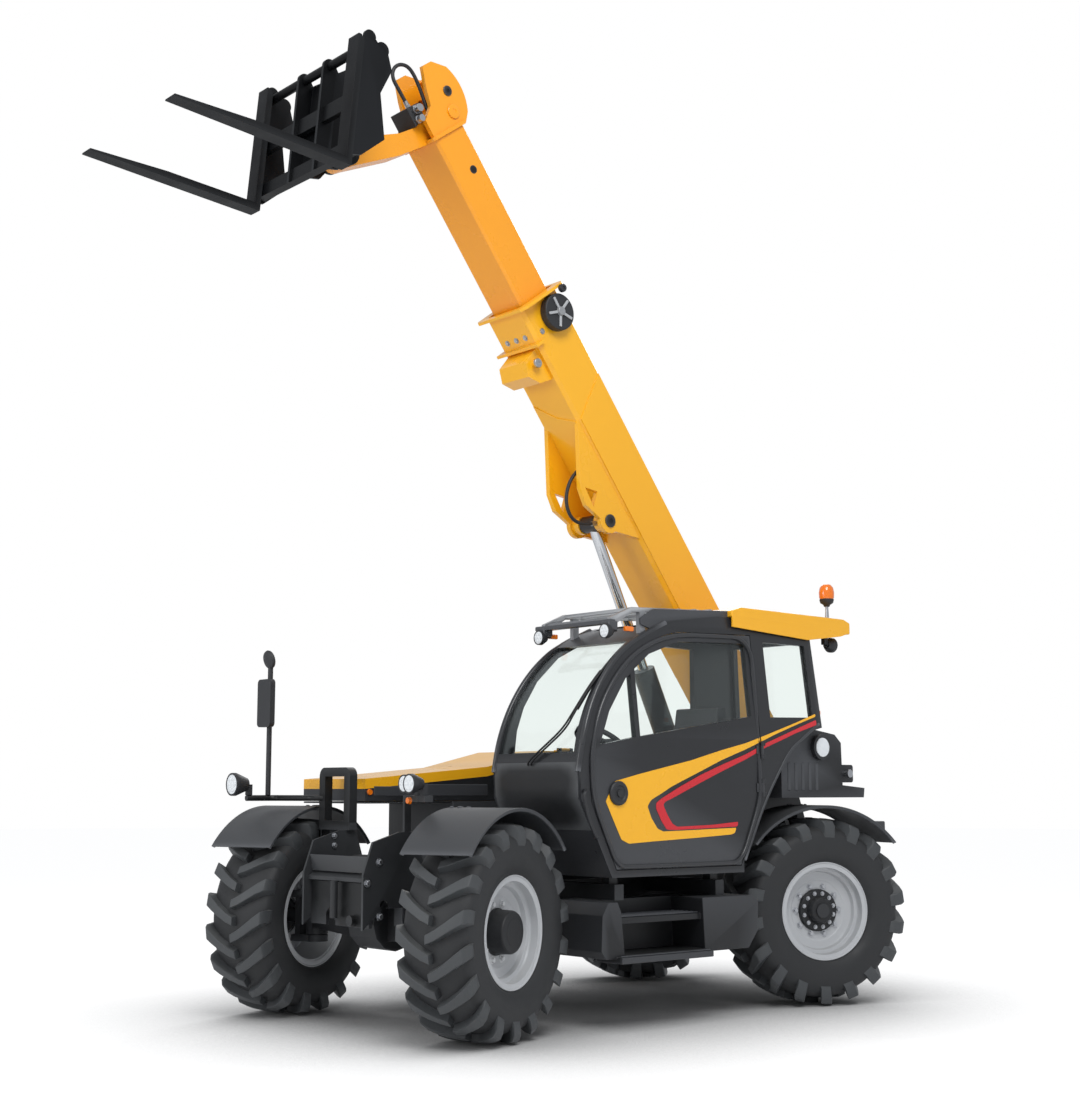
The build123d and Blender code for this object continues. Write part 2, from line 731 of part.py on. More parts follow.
cab_outer = cab_form(0)
cab_inner = cab_form(cab_wall)
glass_outer = cab_form(glass_inset)
glass_inner = cab_form(glass_inset + glass_wall)
left_half = (cab_left + 50, 400)                    # start and depth of cuts through the left wall
behind_hole = cab_section(cab_wall)
behind_door = cab_section(cab_wall - 2)
door_hole = prism(door_outline(-gap), side(left_half[0]), left_half[1])
door_prism = prism(door_outline(0), side(left_half[0]), left_half[1])
door_lights = [
    # main window, and the quarter light ahead of the door's upright bar
    window(side(left_half[0]), [(-735, 2520), (-735, 2010), (door_bar - 20, 1850), (door_bar - 20, 2294), (200, 2400),
                                (-90, 2500)], left_half[1]),
    window(side(left_half[0]), [(door_bar + 20, 1846), (640, 1800), (700, 1800), (600, 2010), (430, 2230),
                                (door_bar + 20, 2258)], left_half[1]),
]
openings = [
    # windscreen, rear, left quarter, right and roof windows
    window(across(-100), [(cab_right + cab_wall, 1740), (cab_left - 75, 1740), (cab_left - 130, 2480),
                          (cab_right + cab_wall, 2480)], 1100),
    window(across(-1600), [(cab_right + 70, 2010), (cab_left - 90, 2010), (cab_left - 150, 2560), (cab_right + 70, 2560)], 300),
    window(side(left_half[0]), [(-930, 2540), (-930, 2010), (-1380, 2020), (-1370, 2540)], left_half[1]),
    window(side(cab_right + 60), [(-1000, 2540), (-1000, 1810), (720, 1750), (700, 1900), (640, 2060), (520, 2240),
                                 (330, 2410), (100, 2520), (-90, 2560)], 100),
    window(level(cab_roof_z - 150), [(-520, cab_left - 200), (-520, cab_right + 100), (60, cab_right + 100),
                                     (60, cab_left - 200)], 300),
]
with BuildPart() as doorway:
    add(door_hole)
    add(behind_hole, mode=Mode.SUBTRACT)
hinge_x = -800 - gap / 2
hinge_y = cab_left + 14
with BuildPart() as cab_shell:
    add(cab_outer)
    add(cab_inner, mode=Mode.SUBTRACT)
    add(doorway.part, mode=Mode.SUBTRACT)
    # fixed leaves of the door hinges, above and below each moving barrel
    for height in door_hinges:
        for low in (height - 60, height + 31):
            with BuildSketch(level(low)) as barrel:
                with Locations((hinge_x, hinge_y)):
                    Circle(12)
                with Locations((hinge_x - 21, cab_left + 4)):
                    Rectangle(42, 8)
            extrude(amount=29)
        with BuildSketch(level(height - 61)) as bore:
            with Locations((hinge_x, hinge_y)):
                Circle(5 + pin_play)
        extrude(amount=122, mode=Mode.SUBTRACT)
    for opening in openings:
        add(opening, mode=Mode.SUBTRACT)
write(cab_shell.part, "cab_shell")

with BuildPart() as cab_glass:
    for opening in openings:
        add(opening)
    add(glass_outer, mode=Mode.INTERSECT)
    add(glass_inner, mode=Mode.SUBTRACT)
write(cab_glass.part, "cab_glass")

with BuildPart() as cab_door:
    add(cab_outer)
    add(door_prism, mode=Mode.INTERSECT)
    add(behind_door, mode=Mode.SUBTRACT)
    for light in door_lights:
        add(light, mode=Mode.SUBTRACT)
    for height in door_hinges:
        with BuildSketch(level(height - 30)) as barrel:
            with Locations((hinge_x, hinge_y)):
                Circle(12)
            with Locations((hinge_x + 25, cab_left + 4)):
                Rectangle(44, 8)
        extrude(amount=60)
        with BuildSketch(level(height - 59)) as pin:
            with Locations((hinge_x, hinge_y)):
                Circle(5)
        extrude(amount=118)
write(cab_door.part, "cab_door")

with BuildPart() as door_glass:
    for light in door_lights:
        add(light)
    add(glass_outer, mode=Mode.INTERSECT)
    add(glass_inner, mode=Mode.SUBTRACT)
write(door_glass.part, "door_glass")

# ---------------------------------------------------------------- cab fittings
with BuildPart() as cab_roof:
    # painted cap over the rear of the cab, reaching back past it
    with BuildSketch(side(cab_left - 60)) as cap:
        with BuildLine():
            Polyline((-600, cab_roof_z + 1), (-600, 2745), (-700, 2775), (-1800, 2760), (-1870, 2735), (-1870, 2650), (-1480, 2650),
                     (-1480, 2672), (-1440, 2672), (-620, cab_roof_z + 1), close=True)
        make_face()
    extrude(amount=cab_left - cab_right - 60)
write(cab_roof.part, "cab_roof")

with BuildPart() as roof_grille:
    # falling-object guard: two long rails and cross bars over the roof window
    rail_long = [(490, 2600), (430, 2600), (300, 2680), (-600, 2725), (-600, 2745), (300, 2712), (490, 2632)]
    for y in (cab_left - 120, cab_right + 90):
        with BuildSketch(side(y)) as rail:
            with BuildLine():
                Polyline(*rail_long, close=True)
            make_face()
            with Locations((205, 2600)):
                Rectangle(50, 180)
        extrude(amount=36)
    for station, height in [(460, 2612), (300, 2684), (150, 2690), (0, 2698), (-150, 2706), (-300, 2714), (-450, 2722)]:
        with BuildSketch(side(cab_left - 120)) as bar:
            with Locations((station, height + 14)):
                Rectangle(22, 22)
        extrude(amount=cab_left - 120 - cab_right - 90)
    add(cab_outer, mode=Mode.SUBTRACT)
write(roof_grille.part, "roof_grille")

with BuildPart() as seat_base:
    with BuildSketch(level(cab_floor + cab_wall)) as box:
        with Locations((-330, 690)):
            Rectangle(400, 420)
    extrude(amount=390)
    with BuildSketch(side(900)) as back:
        with BuildLine():
            Polyline((-530, 1340), (-450, 1385), (-560, 1600), (-640, 2080), (-730, 2080), (-680, 1600), (-560, 1340), close=True)
        make_face()
    extrude(amount=420)
write(seat_base.part, "seat_base")

with BuildPart() as seat_cushion:
    with BuildSketch(level(1385.3)) as pan:
        with Locations((-220, 690)):
            RectangleRounded(440, 460, 60)
    extrude(amount=110)
write(seat_cushion.part, "seat_cushion")

with BuildPart() as steering_console:
    with BuildSketch(side(820)) as dash:
        with BuildLine():
            Polyline((750, 1440), (600, 1440), (560, 1640), (600, 1700), (795, 1650), close=True)
        make_face()
    extrude(amount=480)
    with BuildSketch(side(735)) as column:
        with BuildLine():
            Polyline((640, 1420), (640, 1600), (310, 1840), (260, 1790), (520, 1600), (480, 1380), (430, cab_floor + cab_wall),
                     (520, cab_floor + cab_wall), close=True)
        make_face()
    extrude(amount=90)
    wheel_plane = Plane(origin=(mid_x + 285, 690, 1815), x_dir=(0, 1, 0), z_dir=(-0.55, 0, 0.835))
    with BuildSketch(wheel_plane) as ring:
        Circle(190)
        Circle(160, mode=Mode.SUBTRACT)
        Rectangle(340, 30)
        Circle(45)
    extrude(amount=26)
write(steering_console.part, "steering_console")

with BuildPart() as step_box:
    # tank and tool boxes under the cab, with the treads let in between them
    with BuildSketch(side(1200)) as box:
        with BuildLine():
            Polyline((740, 500), (730, 720), (680, step_top), (600, step_top), (570, 740), (540, 470), (-180, 470),
                     (-160, step_top), (-640, step_top), (-700, 760), (-690, 560), (-600, 450), (700, 450), close=True)
        make_face()
    extrude(amount=500)
    with BuildSketch(level(470)) as back:
        with Locations((200, 800)):
            Rectangle(760, 200)
    extrude(amount=step_top - 470)
    with BuildSketch(level(660)) as tread:
        with Locations((200, 1030)):
            Rectangle(760, 280)
    extrude(amount=40)
    with BuildSketch(level(420)) as low_tread:
        with Locations((200, 1130)):
            Rectangle(820, 240)
    extrude(amount=40)
write(step_box.part, "step_box")

# lamp face from mid, y, z, radius, depth, sign of the way it faces, mount's mid-height from the lamp
LAMPS = [
    (1860, 815, arm_z + arm_wall + 72, 60, 90, 1, -72),
    (1810, 690, arm_z + arm_wall + 72, 56, 90, 1, -72),
    (2010, -1000, arm_z + arm_wall + 72, 78, 110, 1, -72),
    (470, 342, 2540, 50, 60, 1, 60),
    (470, 1012, 2540, 50, 60, 1, 60),
    (-1700, 1000, 2570, 55, 60, -1, 80),
]
with BuildPart() as work_lamps:
    for station, y, z, radius, depth, facing, foot in LAMPS:
        # housing that widens to a short straight rim
        with BuildSketch(across(station)) as back:
            with Locations((y, z)):
                Circle(0.55 * radius)
        with BuildSketch(across(station + facing * (depth - 22))) as front:
            with Locations((y, z)):
                Circle(radius)
        loft()
        with BuildSketch(across(station + facing * (depth - 22))) as rim_face:
            with Locations((y, z)):
                Circle(radius)
        extrude(amount=facing * 22)
        with BuildSketch(across(station)) as bracket:
            with Locations((y, z + foot / 2)):
                Rectangle(34, abs(foot))
        extrude(amount=-facing * 38)
        if facing * foot > 0 and station > 0:
            with BuildSketch(across(station)) as strap:
                with Locations((y, z + foot / 2)):
                    Rectangle(34, abs(foot))
            extrude(amount=10)
    # round lamp on the side of the rear body
    with BuildSketch(side(1036)) as side_lamp:
        with Locations((rear_x - 25, 1813)):
            Circle(92)
    extrude(amount=36)
write(work_lamps.part, "work_lamps")

with BuildPart() as beacon:
    with BuildSketch(level(2761.1)) as stalk:
        with Locations((-1740, 980)):
            Circle(16)
    extrude(amount=120)
    with BuildSketch(level(2881)) as base:
        with Locations((-1740, 980)):
            Circle(58)
    extrude(amount=30)
    with BuildSketch(level(2911)) as dome:
        with Locations((-1740, 980)):
            Circle(52)
    extrude(amount=120)
write(beacon.part, "beacon")

with BuildPart() as mirror_stalk:
    with BuildSketch(level(arm_z + arm_wall)) as stalk:
        with Locations((1840, -1000)):
            Circle(18)
    extrude(amount=2360 - arm_z - arm_wall)
    with BuildSketch(across(1850)) as glass:
        with Locations((-1000, 2100)):
            RectangleRounded(170, 330, 30)
    extrude(amount=40)
write(mirror_stalk.part, "mirror")

# ---------------------------------------------------------------- boom
def boom_box(half, low, high, chamfer_size):
    """Section of a boom stage, centred across, corners bevelled."""
    with BuildSketch() as section:
        with BuildLine():
            Polyline((-half, low), (half, low), (half, high), (-half, high), close=True)
        make_face()
        chamfer(section.vertices(), length=chamfer_size)
    return section.sketch


with BuildPart() as boom_outer:
    with BuildSketch(boom_section(outer_rear)) as skin:
        add(boom_box(outer_half, outer_bottom, outer_top, 25))
    extrude(amount=outer_front - outer_rear)
    # pivot tube through the rear end
    with BuildSketch(boom_side(tower_y - tower_wall / 2 - 4)) as tube:
        Circle(pivot_radius + 50)
    extrude(amount=2 * (tower_y - tower_wall / 2 - 4))
    # collar flange and rib round the mouth
    with BuildSketch(boom_section(outer_front - collar_wall)) as flange:
        add(boom_box(outer_half + 80, outer_bottom - 45, outer_top + 30, 40))
    extrude(amount=collar_wall)
    with BuildSketch(boom_section(outer_front - 300)) as rib:
        with Locations((0, outer_bottom)):
            Rectangle(2 * outer_half + 60, 90)
    extrude(amount=collar_wall)
    # doubler plates on the sides and belly, cut slanting at their front end
    for hand in (1, -1):
        with BuildSketch(boom_side(hand * (outer_half + doubler_wall / 2) + doubler_wall / 2)) as doubler:
            with BuildLine():
                Polyline((700, outer_bottom + 25), (doubler_front, outer_bottom + 25), (doubler_front + 190, outer_top - 25),
                         (900, outer_top - 25), close=True)
            make_face()
        extrude(amount=doubler_wall)
    with BuildSketch(Plane(origin=(pivot_x, 0, pivot_z), x_dir=boom_side(0).x_dir, z_dir=boom_side(0).y_dir)
                     .offset(outer_bottom)) as belly_doubler:
        with BuildLine():
            Polyline((lift_t + 300, outer_half - 30), (doubler_front, outer_half - 30), (doubler_front + 60, 0),
                     (doubler_front + 190, 30 - outer_half), (lift_t + 300, 30 - outer_half), close=True)
        make_face()
    extrude(amount=-doubler_wall)
    # ears for the lift cylinder's pin
    for hand in (1, -1):
        with BuildSketch(boom_side(hand * (ear_half + 150) / 2 + (ear_half - 150) / 2)) as ear:
            with BuildLine():
                Polyline((lift_t + 60, lift_n - 67), (lift_t + 210, lift_n - 130), (lift_t + 340, lift_n - 105),
                         (lift_t + 760, outer_bottom + 10), (lift_t - 260, outer_bottom + 10), (lift_t - 90, lift_n))
                ThreePointArc((lift_t - 90, lift_n), (lift_t - 40, lift_n - 80), (lift_t + 60, lift_n - 67))
            make_face()
            with BuildLine():
                # three-cornered window between the boss and the plate's lower edge
                Polyline((lift_t + 165, lift_n - 75), (lift_t + 320, lift_n - 60), (lift_t + 235, lift_n + 25), close=True)
            make_face(mode=Mode.SUBTRACT)
        extrude(amount=ear_half - 150)
        with BuildSketch(boom_side(hand * (ear_half + eye_half + 5) / 2 + (ear_half - eye_half - 5) / 2)) as ring:
            with Locations((lift_t, lift_n)):
                Circle(70)
        extrude(amount=ear_half - eye_half - 5)
    # hook bracket under the mouth
    with BuildSketch(boom_side(150)) as hook:
        with BuildLine():
            Polyline((3300, outer_bottom + 5), (3330, -330), (3420, -400), (3520, -360), (3560, outer_bottom + 5), close=True)
        make_face()
    extrude(amount=300)
    with BuildSketch(boom_side(185)) as hook_pin:
        with Locations((3470, -300)):
            Circle(22)
    extrude(amount=370)
    # holes in the flange's lower edge
    with BuildSketch(boom_section(outer_front - collar_wall)) as flange_holes:
        with Locations((120, outer_bottom - 20), (-120, outer_bottom - 20)):
            Circle(13)
    extrude(amount=collar_wall, mode=Mode.SUBTRACT)
    with BuildSketch(boom_side(tower_y + 100)) as bore:
        Circle(pivot_radius + pin_play)
    extrude(amount=2 * tower_y + 200, mode=Mode.SUBTRACT)
    with BuildSketch(boom_section(pivot_radius + 60)) as hollow:
        add(boom_box(outer_half - outer_wall, outer_bottom + outer_wall, outer_top - outer_wall, 20))
    extrude(amount=outer_front, mode=Mode.SUBTRACT)
    # wear pads at the mouth
    with BuildSketch(boom_section(outer_front - 160)) as pads:
        side_pad = outer_half - outer_wall - inner_half - pad_play
        side_mid = inner_half + pad_play + side_pad / 2
        with Locations((side_mid, 0), (-side_mid, 0)):
            Rectangle(side_pad, 180)
        with Locations((0, (outer_top - outer_wall + inner_top) / 2 + pad_play / 2)):
            Rectangle(220, outer_top - outer_wall - inner_top - pad_play)
        with Locations((0, (outer_bottom + outer_wall + inner_bottom) / 2 - pad_play / 2)):
            Rectangle(220, inner_bottom - outer_bottom - outer_wall - pad_play)
    extrude(amount=120)
write(boom_outer.part, "boom_outer")

with BuildPart() as hose_reel:
    with BuildSketch(boom_side(outer_half + 70)) as drum:
        with Locations((outer_front - 175, 50)):
            Circle(135)
    extrude(amount=70)
write(hose_reel.part, "hose_reel")

with BuildPart() as boom_inner:
    with BuildSketch(boom_section(inner_rear)) as skin:
        add(boom_box(inner_half, inner_bottom, inner_top, 20))
        offset(amount=-inner_wall, mode=Mode.SUBTRACT)
    extrude(amount=inner_front - inner_rear)
    # wear pads at the tail
    tail_top = outer_top - outer_wall - pad_play
    tail_bottom = outer_bottom + outer_wall + pad_play
    tail_half = outer_half - outer_wall - pad_play
    with BuildSketch(boom_section(inner_rear)) as pads:
        with Locations((0, (tail_top + inner_top) / 2)):
            Rectangle(220, tail_top - inner_top)
        with Locations((0, (tail_bottom + inner_bottom) / 2)):
            Rectangle(220, inner_bottom - tail_bottom)
        with Locations(((tail_half + inner_half) / 2, 0), (-(tail_half + inner_half) / 2, 0)):
            Rectangle(tail_half - inner_half, 180)
    extrude(amount=120)
write(boom_inner.part, "boom_inner")

with BuildPart() as boom_head:
    # end plate, two cheeks with a closing strip, and the nose that drops to the hitch pin
    with BuildSketch(boom_section(inner_front)) as plate:
        add(boom_box(inner_half + 18, inner_bottom - 20, inner_top + 20, 20))
    extrude(amount=26)
    for hand in (1, -1):
        with BuildSketch(boom_side(hand * (inner_half - cheek_wall / 2) + cheek_wall / 2)) as cheek:
            with BuildLine():
                Polyline((inner_front, 160), (5220, 225))
                ThreePointArc((5220, 225), (5400, 275), (5560, 235))
                Polyline((5560, 235), (5640, 130), (5640, 40), (5500, -20), (5380, -60), (5310, -165), (inner_front, -165),
                         (inner_front, 160))
            make_face()
            with Locations((5413, 139)):
                Circle(28, mode=Mode.SUBTRACT)
        extrude(amount=cheek_wall)
    with BuildSketch(boom_side(inner_half - cheek_wall)) as strip:
        with BuildLine():
            Polyline((inner_front, 160), (5220, 225))
            ThreePointArc((5220, 225), (5400, 275), (5560, 235))
            Polyline((5560, 235), (5545, 215))
            ThreePointArc((5545, 215), (5400, 250), (5230, 205))
            Polyline((5230, 205), (inner_front, 140), (inner_front, 160))
        make_face()
    extrude(amount=2 * (inner_half - cheek_wall))
    with BuildSketch(boom_side(nose_half)) as nose:
        with BuildLine():
            Polyline((hitch_t - 95, hitch_n), (5190, -450), (inner_front, -185), (inner_front, 60), (5360, 20), (5300, -200),
                     (5320, -360), (5400, -600), (hitch_t + 95, hitch_n))
            ThreePointArc((hitch_t + 95, hitch_n), (hitch_t, hitch_n - 95), (hitch_t - 95, hitch_n))
        make_face()
        with Locations((hitch_t, hitch_n)):
            Circle(hitch_radius + pin_play, mode=Mode.SUBTRACT)
    extrude(amount=2 * nose_half)
write(boom_head.part, "boom_head")

with BuildPart() as head_valve:
    # valve block on the front of the nose, with two couplers on top
    with BuildSketch(boom_side(valve_left)) as block:
        with BuildLine():
            Polyline((5304, valve_low), (valve_front, valve_low), (valve_front, valve_high), (5330, valve_high), close=True)
        make_face()
    extrude(amount=valve_left + 70)
    for y, reach in ((60, 60), (-20, 45)):
        with BuildSketch(Plane(origin=(boom_point(5390, valve_high)[0], y, boom_point(5390, valve_high)[1]),
                               z_dir=boom_side(0).y_dir)) as coupler:
            Circle(18)
        extrude(amount=reach)
write(head_valve.part, "head_valve")


def hose(points, y, radius):
    """Tube along straight runs and tangent arcs through (t, n) points in the boom's plane at y; prints its radii."""
    radii = []
    for before, here, after in zip(points, points[1:], points[2:]):
        run_in = Vector(here[0] - before[0], here[1] - before[1])
        run_out = Vector(after[0] - here[0], after[1] - here[1])
        turn = radians(run_in.get_angle(run_out))
        radii.append(0.45 * min(run_in.length, run_out.length) / tan(turn / 2))
    print("hose radii", [round(r) for r in radii])
    with BuildPart() as tube:
        with BuildLine(boom_side(y)) as route:
            FilletPolyline(*points, radius=radii)
        with BuildSketch(Plane(origin=route.line @ 0, z_dir=route.line % 0)):
            Circle(radius)
        sweep()
    return tube.part


# loop from the end plate behind the left cheek, out and round to the valve block's front
head_hose = hose(
    [(inner_front + 26.2, -62), (5350, -62), (5520, -20), (5664, -14), (5720, -73), (5720, -151), (5664, -207), (5552, -200),
     (valve_front + 0.2, -200)],
    (nose_half + inner_half - cheek_wall) / 2, hose_radius)
write(head_hose, "head_hose")

# loop from the belly to the boss of the left ear
ear_hose = hose(
    [(2640, outer_bottom - doubler_wall - 0.2), (2640, -385), (2590, -530), (2490, -625), (2370, -640),
     (lift_t + 78, lift_n - 172), (lift_t + 29.5, lift_n - 65.5)],
    118, hose_radius)
write(ear_hose, "ear_hose")

# ---------------------------------------------------------------- hitch, carriage and forks
pin_f = -hitch_back
pin_s = hitch_up
with BuildPart() as quick_hitch:
    for hand in (1, -1):
        with BuildSketch(fork_side(hand * 112.5 + 12.5)) as cheek:
            with BuildLine():
                Polyline((pin_f - 90, pin_s), (pin_f - 120, pin_s + 260), (pin_f - 90, pin_s + 560), (pin_f + 80, pin_s + 560),
                         (pin_f + 181, pin_s + 480), (pin_f + 181, pin_s - 180), (pin_f + 60, pin_s - 150), (pin_f + 20, pin_s - 90))
                ThreePointArc((pin_f + 20, pin_s - 90), (pin_f - 64, pin_s - 64), (pin_f - 90, pin_s))
            make_face()
        extrude(amount=25)
    with BuildSketch(fork_side(125)) as front_plate:
        with Locations((pin_f + 171, pin_s + 150)):
            Rectangle(20, 640)
    extrude(amount=250)
    with BuildSketch(fork_side(165)) as lock_plate:
        with Locations((pin_f + 171, pin_s + 25)):
            Rectangle(20, 380)
    extrude(amount=330)
    with BuildSketch(fork_side(140)) as pin:
        with Locations((pin_f, pin_s)):
            Circle(hitch_radius)
    extrude(amount=280)
write(quick_hitch.part, "quick_hitch")

with BuildPart() as fork_carriage:
    # bars across: low, middle and the round bar the forks hang on
    for f_mid, s_mid, deep, tall in [(-85, 155, 60, 90), (-85, 500, 40, 110)]:
        with BuildSketch(fork_side(carriage_half)) as bar:
            with Locations((f_mid, s_mid)):
                Rectangle(deep, tall)
        extrude(amount=2 * carriage_half)
    with BuildSketch(fork_side(carriage_half)) as top_bar:
        with Locations((-85, 850)):
            Circle(30)
    extrude(amount=2 * carriage_half)
    for y in (carriage_half, -carriage_half + 20, 165, -140):
        outer = abs(y) > 300
        with BuildSketch(fork_side(y)) as plate:
            with BuildLine():
                if outer:
                    # two humps at the top, the front one round the bar
                    Polyline((-fork_thick, 80), (-fork_thick, 905))
                    ThreePointArc((-fork_thick, 905), (-95, 955), (-140, 905))
                    Line((-140, 905), (-158, 890))
                    ThreePointArc((-158, 890), (-215, 905), (-245, 840))
                    Polyline((-245, 840), (-285, 740), (-215, 560), (-280, 260), (-120, 100), (-fork_thick, 80))
                else:
                    # eye round the bar
                    Polyline((-40, 100), (-35, 850))
                    ThreePointArc((-35, 850), (-85, 900), (-135, 850))
                    Polyline((-135, 850), (-250, 700), (-135, 560), (-135, 160), (-40, 100))
            make_face()
        extrude(amount=20 if outer else 25)
write(fork_carriage.part, "fork_carriage")

with BuildPart() as forks:
    for hand in (1, -1):
        with BuildSketch(fork_side(hand * fork_y + fork_width / 2)) as fork:
            with BuildLine():
                Polyline((0, fork_height), (0, fork_thick), (fork_length * 0.55, fork_thick - 4), (fork_length, 14),
                         (fork_length, 2), (fork_length * 0.6, 0), (-fork_thick, 0), (-fork_thick, fork_height - 40),
                         (-25, fork_height), close=True)
            make_face()
        extrude(amount=fork_width)
write(forks.part, "forks")

# ---------------------------------------------------------------- lift cylinder
with BuildPart() as lift_barrel:
    with BuildSketch(lift_side(95)) as foot:
        Circle(95)
        Circle(lift_pin_radius + pin_play, mode=Mode.SUBTRACT)
    extrude(amount=190)
    along = Plane(origin=(lift_foot_x, 0, lift_foot_z), x_dir=(0, 1, 0), z_dir=(cos(lift_angle), 0, sin(lift_angle)))
    with BuildSketch(along.offset(60)) as tube:
        Circle(barrel_radius)
    extrude(amount=barrel_length - 60)
    with BuildSketch(along.offset(110)) as bore:
        Circle(barrel_bore)
    extrude(amount=barrel_length - 110 - 50, mode=Mode.SUBTRACT)
    with BuildSketch(along.offset(barrel_length - 60)) as gland:
        Circle(rod_radius + pin_play)
    extrude(amount=80, mode=Mode.SUBTRACT)
    with BuildSketch(lift_side(95)) as pin_bore:
        Circle(lift_pin_radius + pin_play)
    extrude(amount=190, mode=Mode.SUBTRACT)
write(lift_barrel.part, "lift_barrel")

with BuildPart() as lift_rod:
    with BuildSketch(along.offset(lift_span - rod_length)) as rod:
        Circle(rod_radius)
    extrude(amount=rod_length - 20)
    with BuildSketch(along.offset(lift_span - rod_length)) as piston:
        Circle(barrel_bore - 0.1)
    extrude(amount=45)
    with BuildSketch(lift_side(eye_half)) as eye:
        with Locations((lift_span, 0)):
            Circle(eye_radius)
    extrude(amount=2 * eye_half)
write(lift_rod.part, "lift_rod")
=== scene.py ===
"""Telescopic handler with a side cab, a two-stage boom and pallet forks. Metres, +X forward, +Y left, +Z up."""

import json
from math import atan2, cos, pi, radians, sin, tau

import bmesh
import bpy
from mathutils import Matrix, Vector


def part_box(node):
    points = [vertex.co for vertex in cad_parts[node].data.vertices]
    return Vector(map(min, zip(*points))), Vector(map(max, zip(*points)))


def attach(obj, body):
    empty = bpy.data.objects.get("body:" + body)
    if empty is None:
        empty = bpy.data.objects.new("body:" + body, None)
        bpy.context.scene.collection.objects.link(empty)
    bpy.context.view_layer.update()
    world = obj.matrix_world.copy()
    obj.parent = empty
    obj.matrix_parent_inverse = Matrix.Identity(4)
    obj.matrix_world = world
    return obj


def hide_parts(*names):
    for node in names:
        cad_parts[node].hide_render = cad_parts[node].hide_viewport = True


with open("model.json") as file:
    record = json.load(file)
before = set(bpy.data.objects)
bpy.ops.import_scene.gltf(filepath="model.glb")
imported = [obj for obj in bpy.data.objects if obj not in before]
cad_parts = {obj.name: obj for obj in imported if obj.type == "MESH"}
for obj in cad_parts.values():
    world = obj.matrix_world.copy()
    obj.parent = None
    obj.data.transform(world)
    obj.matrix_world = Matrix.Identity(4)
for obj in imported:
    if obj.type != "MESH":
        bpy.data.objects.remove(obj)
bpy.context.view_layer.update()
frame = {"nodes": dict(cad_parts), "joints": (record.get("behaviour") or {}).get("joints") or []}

# ---------------------------------------------------------------- studio
# A white sweep of floor and sky under soft daylight lamps, seen at standing height
# from ahead of the machine's left front wheel.


def linear(hexa):
    """An sRGB hex colour as linear RGBA."""
    channels = [int(hexa[i:i + 2], 16) / 255 for i in (1, 3, 5)]
    return [c / 12.92 if c <= 0.04045 else ((c + 0.055) / 1.055) ** 2.4 for c in channels] + [1.0]


def add(tree, kind, links=(), values=(), **settings):
    """One shader node: settings by attribute or input name, values and links by input name or number."""
    made = tree.nodes.new("ShaderNode" + kind)
    for name, value in settings.items():
        if hasattr(made, name):
            setattr(made, name, value)
        else:
            made.inputs[name.replace("_", " ")].default_value = value
    for target, value in values:
        made.inputs[target].default_value = value
    for target, source in links:
        tree.links.new(source, made.inputs[target])
    return made


def empty_material(name):
    """A node material with nothing in it yet, and its tree."""
    material = bpy.data.materials.new(name)
    material.use_nodes = True
    material.node_tree.nodes.clear()
    return material, material.node_tree


def mesh_from(bm, name):
    """Turns a finished bmesh into a mesh."""
    mesh = bpy.data.meshes.new(name)
    bm.to_mesh(mesh)
    bm.free()
    return mesh


def piece_from(bm, name, material):
    """Turns a finished bmesh into an object at the origin with its material."""
    made = bpy.data.objects.new(name, mesh_from(bm, name))
    made.data.materials.append(material)
    bpy.context.scene.collection.objects.link(made)
    return made


def set_up(name, data, at, facing):
    """Stands a camera or a lamp at a point, looking along facing."""
    made = bpy.data.objects.new(name, data)
    made.matrix_world = Matrix.Translation(at) @ facing.to_track_quat("-Z", "Y").to_matrix().to_4x4()
    bpy.context.scene.collection.objects.link(made)
    return made


camera_at = (7.465, 9.23, 1.5)
camera_yaw, camera_pitch = radians(-130.12), radians(7.79)
look = Vector((cos(camera_yaw) * cos(camera_pitch), sin(camera_yaw) * cos(camera_pitch), sin(camera_pitch)))
lens = bpy.data.cameras.new("camera")
lens.sensor_fit = "HORIZONTAL"
lens.sensor_width = 36.0
lens.lens = 56.56
bpy.context.scene.camera = set_up("camera", lens, camera_at, look)
bpy.context.scene.view_settings.view_transform = "Standard"

world = bpy.data.worlds.new("studio sky")
bpy.context.scene.world = world
world.use_nodes = True
sky = world.node_tree
sky.nodes.clear()
path = add(sky, "LightPath")
straight = add(sky, "Math", [(0, path.outputs["Is Camera Ray"]), (1, path.outputs["Is Transmission Ray"])],
               operation="MAXIMUM")
soft = add(sky, "Background", Color=linear("#F3F6FB"), Strength=0.66)
white = add(sky, "Background", Color=(1, 1, 1, 1), Strength=1.0)
both = add(sky, "MixShader", [(0, straight.outputs[0]), (1, soft.outputs[0]), (2, white.outputs[0])])
add(sky, "OutputWorld", [(0, both.outputs[0])])

for name, lamp_at, aim, size, power in [
    ("key lamp", (4.5, 8.5, 11.5), (-0.3, 0.0, 2.0), 6.0, 900.0),
    ("front lamp", (11.0, -1.0, 4.5), (0.0, 0.0, 2.6), 5.0, 250.0),
    ("back lamp", (-9.0, -6.0, 9.0), (0.0, 0.0, 3.0), 6.0, 380.0),
]:
    lamp = bpy.data.lights.new(name, "AREA")
    lamp.shape = "DISK"
    lamp.size = size
    lamp.energy = power
    set_up(name, lamp, lamp_at, Vector(aim) - Vector(lamp_at))

